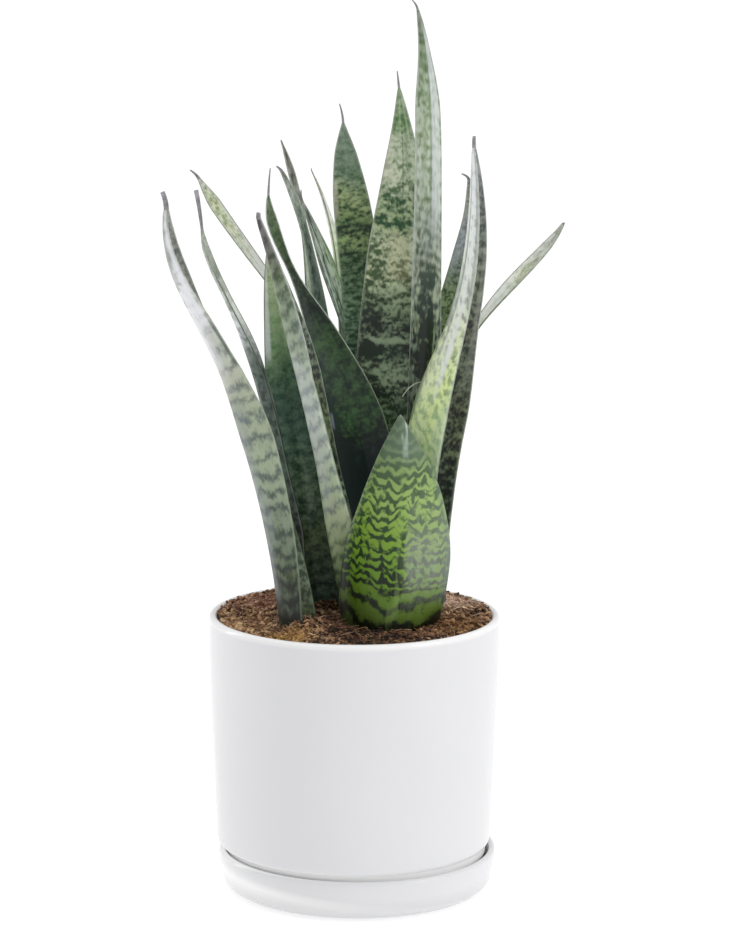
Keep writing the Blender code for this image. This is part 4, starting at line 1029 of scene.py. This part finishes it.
SKINS["leaf_11"] = [dict(
    pale=[(170, "506252"), (190, "5c6e5a"), (210, "5e7258"), (220, "566e50"), (226, "829864"),
          (233, "647e58"), (240, "7c9060"), (246, "98a676"), (256, "9cac80"), (262, "8c9c80"),
          (268, "748a70"), (290, "808e80")],
    dark=[(170, "26342a"), (190, "2a3a2d"), (210, "283828"), (230, "223424"), (242, "364c34"),
          (256, "385234"), (266, "4c644c"), (290, "647268")],
    zones=[(170, 0.55), (195, 0.55), (215, 0.58), (221, 0.62), (227, 0.4), (232, 0.66), (237, 0.64),
           (241, 0.42), (244, 0.54), (250, 0.48), (258, 0.48), (264, 0.5), (290, 0.45)],
    light=[(170, 4.0), (190, 3.2), (210, 2.0), (230, 1.25), (250, 1.12), (290, 1.18)],
    period=4.6, band=0.2, cell=3.0, fine=(0.3, 2.0, 1.6), broad=(0.45, 5.0, 2.8), soft=0.85, fray=0.3,
    wax="a8b4a4", wax_mix=0.03,
    stripes_of_tint_and_sheen=[((-2, -1.5, -0.86, -0.68), (240, 247, 258, 268), 0.6, "b8b4a4"),
             ((-0.2, -0.05, 0.05, 0.2), (262, 270, 290, 300), 0.25, "8ca488")])]
SKINS["leaf_12"] = [dict(
    pale=[(180, "74865e"), (200, "7e906a"), (212, "808c7c"), (232, "a4aab0"), (250, "a6aaa2"),
          (265, "9aa098")],
    dark=[(180, "34442c"), (205, "3c4c38"), (218, "505e52"), (232, "626c70"), (250, "70746c"),
          (265, "5f665c")],
    zones=[(180, 0.5), (205, 0.5), (225, 0.48), (240, 0.45), (265, 0.5)],
    light=[(190, 1.35), (210, 1.2), (230, 0.95), (250, 1.2)],
    period=5.0, band=0.15, fine=(0.38, 1.4, 1.6), broad=(0.34, 3.0, 3.2), wax="a5ada8",
    stripes_of_tint_and_sheen=[((-2, -1.5, -0.5, -0.3), (210, 222, 246, 256), 0.4, "b4bac6"),
             ((0.3, 0.5, 1, 2), (196, 210, 240, 252), 0.3, "86967a")])]
SKINS["leaf_13"] = [dict(
    pale=[(190, "606e62"), (215, "66726a"), (232, "7c8c7c"), (246, "a8b4a8"), (256, "bcc2bc"),
          (264, "a6a89c")],
    dark=[(190, "36443a"), (215, "38443c"), (236, "485446"), (250, "6c786a"), (262, "6c6c62")],
    zones=[(190, 0.5), (215, 0.55), (245, 0.55), (254, 0.4), (262, 0.6)],
    light=[(190, 1.9), (210, 1.2), (230, 0.8), (250, 1.1)],
    band=0.15, fine=(0.3, 1.2, 2.0), broad=(0.32, 2.4, 5.0), soft=0.85, wax="8f9a96",
    stripes_of_tint_and_sheen=[((0.45, 0.62, 1.0, 2), (190, 205, 258, 266), 0.5, "9cb09e"),
             ((-2, -1.5, -0.8, -0.6), (190, 205, 250, 260), 0.5, "a4aeaa"),
             ((-0.1, 0.0, 0.15, 0.3), (225, 232, 246, 252), 0.5, "a8bcb0")])]
SKINS["leaf_14"] = [dict(
    pale=[(60, "465a46"), (140, "5a6e58"), (182, "6c7e70"), (190, "7c8c80"), (202, "a0ae9c"),
          (215, "b4c0b0"), (228, "acb8a8"), (240, "a0aca0"), (252, "b8beb8")],
    dark=[(60, "2a382c"), (140, "34442f"), (180, "303e34"), (190, "26322c"), (205, "46564c"),
          (225, "4a5a4c"), (240, "3c4840"), (252, "747c74")],
    zones=[(60, 0.5), (170, 0.5), (188, 0.75), (198, 0.5), (215, 0.42), (235, 0.5), (246, 0.6), (252, 0.4)],
    light=[(150, 1.2), (190, 2.3), (210, 2.6), (230, 1.5), (250, 0.9)],
    period=8.0, band=0.1, fine=(0.3, 1.0, 4.0), broad=(0.6, 1.4, 14.0), soft=0.5, wax="c5ccc4",
    stripes_of_tint_and_sheen=[((-0.72, -0.62, -0.5, -0.4), (194, 204, 240, 250), 0.75, "dce0da"),
             ((-0.32, -0.22, -0.12, -0.02), (196, 206, 240, 250), 0.7, "3c4e42"),
             ((0.02, 0.1, 0.2, 0.3), (200, 210, 238, 248), 0.55, "c8d0c4"),
             ((0.55, 0.7, 0.85, 1.0), (204, 212, 226, 236), 0.6, "8cac70"),
             ((-2, -1.5, -0.95, -0.85), (190, 200, 240, 250), 0.5, "646e66")])]
SKINS["leaf_15"] = [dict(
    pale=[(150, "5c6854"), (195, "c0c6c0"), (212, "dce0dc"), (225, "dcdedc"), (245, "b4b8b0"),
          (262, "7c7c76"), (280, "8c8a84")],
    dark=[(150, "26302a"), (200, "7c867c"), (225, "98a098"), (245, "5a5f58"), (262, "4c4a45"),
          (280, "54514b")],
    zones=[(150, 0.6), (200, 0.4), (220, 0.35), (245, 0.55), (280, 0.6)],
    light=[(200, 2.3), (250, 1.5), (270, 1.39)],
    period=8.0, band=0.15, fine=(0.25, 1.4, 2.4), broad=(0.4, 3.0, 6.0), wax="a0a8a0")]
SKINS["leaf_16"] = [dict(
    pale=[(60, "485e3a"), (150, "56703f"), (180, "5a7844"), (205, "94b878"), (225, "d0dcb8"),
          (236, "dee2d4"), (248, "e6e8e6"), (258, "c8c2ae")],
    dark=[(60, "26361f"), (150, "2e4226"), (180, "304a28"), (205, "5f823f"), (228, "8fa078"),
          (245, "b0b4ac"), (258, "908a78")],
    zones=[(180, 0.5), (215, 0.45), (235, 0.4), (258, 0.5)],
    light=[(180, 1.0), (206, 1.0), (226, 1.5)],
    fine=(0.25, 1.4, 2.2), broad=(0.35, 3.0, 5.0), soft=0.7, wax="d0d4c8")]
SKINS["leaf_17"] = [dict(
    pale=[(40, "34442e"), (100, "50644a"), (160, "74866a"), (205, "b8c0ae"), (220, "eaeaea"),
          (236, "dcdfd4"), (250, "d0d6bc"), (264, "ccd4b0"), (274, "ccd4b8"), (282, "d0d2c8")],
    dark=[(40, "1c281c"), (100, "2c3c2a"), (160, "48583f"), (205, "848c7c"), (220, "b4b6b2"),
          (236, "9ca290"), (250, "8c9678"), (264, "8a9570"), (282, "8c9280")],
    zones=[(40, 0.6), (160, 0.5), (220, 0.3), (240, 0.4), (256, 0.48), (272, 0.48), (282, 0.4)],
    light=[(180, 1.0), (220, 2.4), (232, 1.75), (250, 1.4), (270, 1.3)],
    period=7.0, fine=(0.34, 1.2, 1.8), broad=(0.32, 3.0, 3.6), wax="e0e2e0", wax_mix=0.08,
    stripes_of_tint_and_sheen=[((-0.3, -0.2, -0.05, 0.05), (216, 228, 262, 274), 0.45, "8a9080"),
             ((0.6, 0.75, 1, 2), (215, 222, 262, 272), 0.5, "e2dee4")])]

# %% Make every blade
FRONT_BLADES = 5
SHIFT_PER_BLADE, SHIFT_TO_FACE = 7.3, 3.1

faces_made = 0
for number, (name, blade) in enumerate(BLADES.items()):
    mesh = blade_mesh(name + "_waxy", blade)
    shift = SHIFT_PER_BLADE * number
    looks = [leaf_skin(f"waxy leaf {side} {number + 1:02d}", shift=shift + more, **values)
             for side, more, values in zip(("back", "face"), (0.0, SHIFT_TO_FACE), SKINS[name])]
    for look in (looks[0], looks[-1], front_margin if number < FRONT_BLADES else rear_margin, dry_point):
        mesh.materials.append(look)
    piece = placed(name + "_waxy", mesh)
    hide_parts(name)
    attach(piece, "root")
    faces_made += len(mesh.polygons)
print("blade faces:", faces_made)

# %% [markdown]
# ## Soil
#
# Potting soil is coir, peat and bark: a lumpy dark mass under lighter crumbs and short
# fibres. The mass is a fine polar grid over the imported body's outline, moved up and down by
# slow waves and by noise of three sizes. It is heaped where the front left blade was firmed
# in, sinks between the blades and rises a little to the back.

# %% Soil body
SOIL_R = 72.4
SOIL_EDGE_Z = 145.1
RINGS, TURNS = 88, 420
CROWN = 0.9                                    # how far the middle stands over the edge
BACK_RISE, BACK_CURVE = 0.8, 0.7
LOOSE = [(9.0, 1.6), (4.0, 1.4), (1.8, 0.9)]   # size and height of clods, lumps and grains
RISE_EASE, LOOSE_EASE, LOOSE_AT_EDGE = 3.0, 4.0, 0.25
HEAPS = [
    # where, how far it reaches either way, how high
    ((-24.0, -45.0), (9.0, 7.0), 8.2),
    ((-36.0, -46.0), (5.0, 6.0), -2.4),
    ((-11.0, -41.0), (8.0, 7.0), 3.2),
    ((-12.0, 6.0), (13.0, 13.0), -3.4),
    ((52.0, 22.0), (16.0, 20.0), 1.6),
    ((-50.0, 38.0), (20.0, 12.0), 1.4),
]
SOIL_SIDE = [(71.2, 138.0), (70.6, 100.0), (68.6, 50.0), (67.0, 27.0), (62.6, 21.0), (58.4, 12.6),
             (54.8, 9.9)]


def soil_height(x, y):
    """Height of the loose surface, mm, with its heaps, its lumps and its crumbs."""
    r = math.hypot(x, y)
    rise = CROWN * (1.0 - (r / SOIL_R) ** 2) + BACK_RISE * (max(y, 0.0) / 72.0) ** BACK_CURVE
    for (at_x, at_y), (reach_x, reach_y), height in HEAPS:
        rise += height * math.exp(-((x - at_x) / reach_x) ** 2 - ((y - at_y) / reach_y) ** 2)
    lumps = 0.5 * math.sin(x / 9.0 + 1.3) * math.cos(y / 11.0) + 0.4 * math.sin((x - y) / 6.5)
    loose = 0.0
    for size, height in LOOSE:
        loose += height * noise.noise(Vector((x / size, y / size, size)))
    inside = SOIL_R - r
    rise *= min(1.0, inside / RISE_EASE)
    return SOIL_EDGE_Z + rise + (lumps + loose) * min(1.0, LOOSE_AT_EDGE + inside / LOOSE_EASE)


def round_about(r):
    """Evenly turned points (x, y) at a radius."""
    return [(r * math.cos(a), r * math.sin(a)) for a in np.linspace(0, 2 * math.pi, TURNS, endpoint=False)]


def ring_faces(rows):
    """Faces of a fan and the rings round it, facing up."""
    faces = [(0, 1 + k, 1 + (k + 1) % TURNS) for k in range(TURNS)]
    for i in range(rows - 1):
        a = 1 + i * TURNS
        for k in range(TURNS):
            n = (k + 1) % TURNS
            faces.append((a + k, a + TURNS + k, a + TURNS + n, a + n))
    return faces


def plain_mesh(name, verts, faces):
    """A mesh from points in millimetres."""
    mesh = bpy.data.meshes.new(name)
    mesh.from_pydata([(x * MM, y * MM, z * MM) for x, y, z in verts], [], faces)
    mesh.shade_smooth()
    return mesh


# rings of points from the middle of the top outwards, then down the side to the middle below
soil_points = [(0.0, 0.0, soil_height(0.0, 0.0))]
for r in np.linspace(0, SOIL_R, RINGS + 1)[1:]:
    soil_points += [(x, y, soil_height(x, y)) for x, y in round_about(r)]
for r, z in SOIL_SIDE:
    soil_points += [(x, y, z) for x, y in round_about(r)]
under = len(soil_points)
last = under - TURNS
soil_points.append((0.0, 0.0, SOIL_SIDE[-1][1]))
soil_faces = ring_faces(RINGS + len(SOIL_SIDE))
soil_faces += [(last + (k + 1) % TURNS, last + k, under) for k in range(TURNS)]
soil_mesh = plain_mesh("soil_loose", soil_points, soil_faces)
soil = placed("soil_loose", soil_mesh)
print("soil faces:", len(soil_mesh.polygons))

# %% [markdown]
# Crumbs and fibres repeat by the thousand, so Geometry Nodes strew them. One tree spreads
# points over the bed and keeps a random number on each, called tone, for its colour. It
# sets a turned and stretched copy of a small shape on each point, and makes them real.

# %% Tree that strews
SIZES = [("Per square metre", "NodeSocketFloat"), ("Seed", "NodeSocketInt"),
         ("Smallest", "NodeSocketFloat"), ("Largest", "NodeSocketFloat"), ("Material", "NodeSocketMaterial")]
MOSTLY_SMALL = 2.2
FULL_TURN = 6.283
SEED_KEEP, SEED_TONE, SEED_SIZE, SEED_STRETCH, SEED_TURN = 31, 5, 7, 11, 13


def node_tree(name, inputs):
    """A Geometry Nodes tree with named inputs, and what its Group Input gives."""
    tree = bpy.data.node_groups.new(name, "GeometryNodeTree")
    tree.interface.new_socket(name="Geometry", in_out="INPUT", socket_type="NodeSocketGeometry")
    for label, kind in inputs:
        tree.interface.new_socket(name=label, in_out="INPUT", socket_type=kind)
    tree.interface.new_socket(name="Geometry", in_out="OUTPUT", socket_type="NodeSocketGeometry")
    return tree, put(tree, "NodeGroupInput").node.outputs


def strew(tree, given, shape, tilt, flat, many=1.0):
    """Set copies of a shape on the bed: how far they tip, how high they stand, how many stay."""
    spots = put(tree, "GeometryNodeDistributePointsOnFaces", {
        "Mesh": given["Geometry"], "Density": given["Per square metre"], "Seed": given["Seed"]})
    if many != 1.0:
        chance = put(tree, "FunctionNodeRandomValue", {2: 0.0, 3: 1.0, 8: SEED_KEEP}, out=1,
                     data_type="FLOAT")
        spare = put(tree, "FunctionNodeCompare", {0: chance, 1: many}, data_type="FLOAT",
                    operation="GREATER_THAN")
        spots = put(tree, "GeometryNodeDeleteGeometry", {0: spots, 1: spare}, domain="POINT")
    tone = put(tree, "FunctionNodeRandomValue", {2: 0.0, 3: 1.0, 8: SEED_TONE}, out=1, data_type="FLOAT")
    spots = put(tree, "GeometryNodeStoreNamedAttribute", {"Geometry": spots, "Name": "tone", "Value": tone},
                data_type="FLOAT", domain="POINT")
    draw = put(tree, "FunctionNodeRandomValue", {2: 0.0, 3: 1.0, 8: SEED_SIZE}, out=1, data_type="FLOAT")
    draw = put(tree, "ShaderNodeMath", {0: draw, 1: MOSTLY_SMALL}, operation="POWER")
    size = put(tree, "ShaderNodeMapRange", {0: draw, 3: given["Smallest"], 4: given["Largest"]})
    stretch = put(tree, "FunctionNodeRandomValue", {0: (0.7, 0.5, flat * 0.5), 1: (2.2, 1.2, flat),
                                                    8: SEED_STRETCH}, data_type="FLOAT_VECTOR")
    scale = put(tree, "ShaderNodeVectorMath", {0: stretch, "Scale": size}, operation="SCALE")
    turned = put(tree, "FunctionNodeRandomValue", {0: (-tilt, -tilt, 0.0), 1: (tilt, tilt, FULL_TURN),
                                                   8: SEED_TURN}, data_type="FLOAT_VECTOR")
    copies = put(tree, "GeometryNodeInstanceOnPoints", {"Points": spots, "Instance": shape,
                                                        "Rotation": turned, "Scale": scale})
    real = put(tree, "GeometryNodeRealizeInstances", {0: copies})
    finished = put(tree, "GeometryNodeSetMaterial", {"Geometry": real, "Material": given["Material"]})
    put(tree, "NodeGroupOutput", {0: finished})


def grown(name, tree, bed, values):
    """Run a tree on a copy of the bed and keep the result as a plain mesh object."""
    carrier = placed(name + "_bed", bed)
    modifier = carrier.modifiers.new("Strew", "NODES")
    modifier.node_group = tree
    for item in tree.interface.items_tree:
        if item.in_out == "INPUT" and item.name in values:
            modifier[item.identifier] = values[item.name]
    made = plain_result(carrier, name)
    print(name, len(made.polygons), "faces")
    return placed(name, made)


# %% [markdown]
# The soil's colours run from almost black peat to straw-coloured coir. The mass below reads them from noise,
# and each crumb or fibre from its own tone. Soft patches shift the colour as the mix does in a real pot:
# yellow bark in front, pale dry coir at the right and reddish peat at the left. Two darker patches in front
# of and at the foot of the broad front blade are painted shade.

# %% Soil colours
PATCHES = [
    # middle of the patch and its reach in mm, how much lighter, tint, how much of it
    ((-34, -57, 145), 16, 0.05, "c89c50", 0.8),
    ((-58, -26, 145), 24, 0.20, "c09468", 0.4),
    ((50, 22, 147), 22, 0.14, "ecccb8", 1.0),
    ((-52, 26, 146), 34, 0.14, "a87060", 0.5),
    # the next two patches, darker, are painted shade by the broad front blade
    ((14, -58, 145), 34, -0.26, "4a3018", 0.3),
    ((2, -30, 145), 28, -0.26, "3a2416", 0.3),
    ((50, -28, 145), 28, -0.16, "a87838", 0.6),
]
CLODS, CRUMBLY, GRIT = 10.0 * MM, 1.6 * MM, 1.4 * MM


def soil_finish(name, tone_from, rough, lumps, tones):
    """Damp soil: a ramp of colours, tinted in patches, with a grainy relief."""
    made, tree = new_material(name)
    spot = put(tree, "ShaderNodeTexCoord", out="Object")
    crumbly = put(tree, "ShaderNodeTexNoise", {"Vector": spot, "Scale": 1 / CRUMBLY, "Detail": 4.0})
    if tone_from:
        # a crumb's own tone, moved by clods and by its grain
        own = put(tree, "ShaderNodeAttribute", out="Fac", attribute_name=tone_from)
        clods = put(tree, "ShaderNodeTexNoise", {"Vector": spot, "Scale": 1 / CLODS, "Detail": 2.0})
        tone = put(tree, "ShaderNodeMath", {0: crumbly, 1: 0.3, 2: -0.45}, operation="MULTIPLY_ADD")
        tone = put(tree, "ShaderNodeMath", {0: clods, 1: 1.1, 2: tone}, operation="MULTIPLY_ADD")
        tone = put(tree, "ShaderNodeMath", {0: own, 1: 0.6, 2: tone}, operation="MULTIPLY_ADD")
    else:
        tone = put(tree, "ShaderNodeMapRange", {0: crumbly, 1: 0.3, 2: 0.7})
    tints = []
    for middle, reach, lighter, tint, amount in PATCHES:
        middle = [v * MM for v in middle]
        away = put(tree, "ShaderNodeVectorMath", {0: spot, 1: middle}, out=1, operation="DISTANCE")
        near = put(tree, "ShaderNodeMapRange", {0: away, 1: reach * MM, 2: 0.3 * reach * MM},
                   interpolation_type="SMOOTHSTEP")
        tone = put(tree, "ShaderNodeMath", {0: near, 1: lighter, 2: tone}, operation="MULTIPLY_ADD")
        tints.append((near, tint, amount))
    colour = put(tree, "ShaderNodeValToRGB", {"Fac": tone}, stops=[(at, linear(hue)) for at, hue in tones])
    for near, tint, amount in tints:
        near = put(tree, "ShaderNodeMath", {0: near, 1: amount}, operation="MULTIPLY")
        near = put(tree, "ShaderNodeMath", {0: near, 1: tone}, operation="MULTIPLY")
        colour = put(tree, "ShaderNodeMixRGB", {0: near, 1: colour, 2: linear(tint)})
    grit = put(tree, "ShaderNodeTexVoronoi", {"Vector": spot, "Scale": 1 / GRIT})
    lift = put(tree, "ShaderNodeBump", {"Height": crumbly, "Strength": 0.9, "Distance": lumps})
    lump = put(tree, "ShaderNodeBump", {"Height": grit, "Strength": 0.6, "Distance": lumps, "Normal": lift})
    shader = put(tree, "ShaderNodeBsdfPrincipled", {"Base Color": colour, "Roughness": rough,
                                                    "Normal": lump})
    put(tree, "ShaderNodeOutputMaterial", {"Surface": shader})
    return made


damp_peat = soil_finish("damp peat", None, 0.95, 1.0 * MM, [
    (0.0, "140c08"), (0.45, "2a1a10"), (0.75, "4a3020"), (1.0, "6c4a34")])
coir_crumbs = soil_finish("coir and bark crumbs", "tone", 0.9, 0.3 * MM, [
    (0.0, "120a05"), (0.18, "2e1b0c"), (0.42, "6e4e37"), (0.62, "a58060"), (0.8, "c8a278"), (1.0, "ecd0a4")])
coir_fibres = soil_finish("coir fibres", "tone", 0.8, 0.1 * MM, [
    (0.0, "50301e"), (0.3, "8c6244"), (0.6, "b89070"), (0.9, "e0c4a8")])
soil_mesh.materials.append(damp_peat)
print("soil colours are shifted in", len(PATCHES), "patches")

# %% Crumbs
def bed_within(radius):
    """The middle of the soil's top, out to a radius in mm."""
    rows = int(RINGS * radius / SOIL_R)
    return plain_mesh("soil bed", soil_points[:1 + rows * TURNS], ring_faces(rows))


crumb_tree, given = node_tree("strew crumbs", SIZES)
lump = put(crumb_tree, "GeometryNodeMeshIcoSphere", {"Radius": 1.0, "Subdivisions": 1})
bumpy = put(crumb_tree, "ShaderNodeTexNoise", {"Scale": 1.4, "Detail": 0.0}, out="Color")
push = put(crumb_tree, "ShaderNodeVectorMath", {0: bumpy, 1: (0.9, 0.9, 0.9), 2: (-0.45, -0.45, -0.45)},
           operation="MULTIPLY_ADD")
lump = put(crumb_tree, "GeometryNodeSetPosition", {"Geometry": lump, "Offset": push})
strew(crumb_tree, given, lump, tilt=0.7, flat=0.75)
crumbs = grown("soil_crumbs", crumb_tree, bed_within(71.8), {
    "Per square metre": 525000.0, "Seed": 4, "Smallest": 0.32 * MM, "Largest": 1.5 * MM,
    "Material": coir_crumbs})

# %% Fibres
fibre_tree, given = node_tree("strew fibres", SIZES)
strand = put(fibre_tree, "GeometryNodeCurveQuadraticBezier", {
    "Resolution": 6, "Start": (-1.0, 0.0, -0.1), "Middle": (0.1, 0.7, 0.35), "End": (1.0, -0.2, 0.0)})
rim = put(fibre_tree, "GeometryNodeCurvePrimitiveCircle", {"Resolution": 3, "Radius": 0.055})
strand = put(fibre_tree, "GeometryNodeCurveToMesh", {"Curve": strand, "Profile Curve": rim,
                                                     "Fill Caps": True})
where = put(fibre_tree, "GeometryNodeInputPosition")
where = put(fibre_tree, "ShaderNodeSeparateXYZ", {0: where}, out="X")
# more of them lie towards the right, where the coir is dry
share = put(fibre_tree, "ShaderNodeMapRange", {0: where, 1: 0.0, 2: 45.0 * MM, 3: 0.6, 4: 1.0})
strew(fibre_tree, given, strand, tilt=0.45, flat=1.1, many=share)
fibres = grown("soil_fibres", fibre_tree, bed_within(67.0), {
    "Per square metre": 220000.0, "Seed": 9, "Smallest": 1.2 * MM, "Largest": 4.6 * MM,
    "Material": coir_fibres})
for piece in (soil, crumbs, fibres):
    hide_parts("soil")
    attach(piece, "root")

# %% [markdown]
# One thin dry fibre has split off the edge of a front blade and hangs beside it. It is a
# curve through four points with a round bevel, made into a mesh.

# %% Dry fibre
FIBRE = [(35.2, -8.5, 269.4), (31.0, -12.0, 270.3), (27.6, -14.0, 268.3), (24.2, -14.0, 262.8)]
FIBRE_R, DRY_SPOTS = 0.26 * MM, 2.0 * MM

line = bpy.data.curves.new("dry_fibre", "CURVE")
line.dimensions = "3D"
line.bevel_depth = FIBRE_R
line.bevel_resolution = 2
line.resolution_u = 10
line.use_fill_caps = True
spline = line.splines.new("NURBS")
spline.points.add(len(FIBRE) - 1)
spline.order_u = 4
spline.use_endpoint_u = True
for point, (x, y, z) in zip(spline.points, FIBRE):
    point.co = (x * MM, y * MM, z * MM, 1.0)
fibre_mesh = plain_result(placed("dry_fibre_line", line), "dry_fibre")
fibre_mesh.materials.clear()
straw, tree = new_material("dry leaf fibre")
spot = put(tree, "ShaderNodeTexCoord", out="Object")
dry = put(tree, "ShaderNodeTexNoise", {"Vector": spot, "Scale": 1 / DRY_SPOTS, "Detail": 2.0})
tone = put(tree, "ShaderNodeMixRGB", {0: dry, 1: linear("7c8874"), 2: linear("c8ccba")})
shader = put(tree, "ShaderNodeBsdfPrincipled", {"Base Color": tone, "Roughness": 0.7})
put(tree, "ShaderNodeOutputMaterial", {"Surface": shader})
fibre_mesh.materials.append(straw)
dry_fibre = placed("dry_fibre", fibre_mesh)
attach(dry_fibre, "root")
print("dry fibre faces:", len(fibre_mesh.polygons))
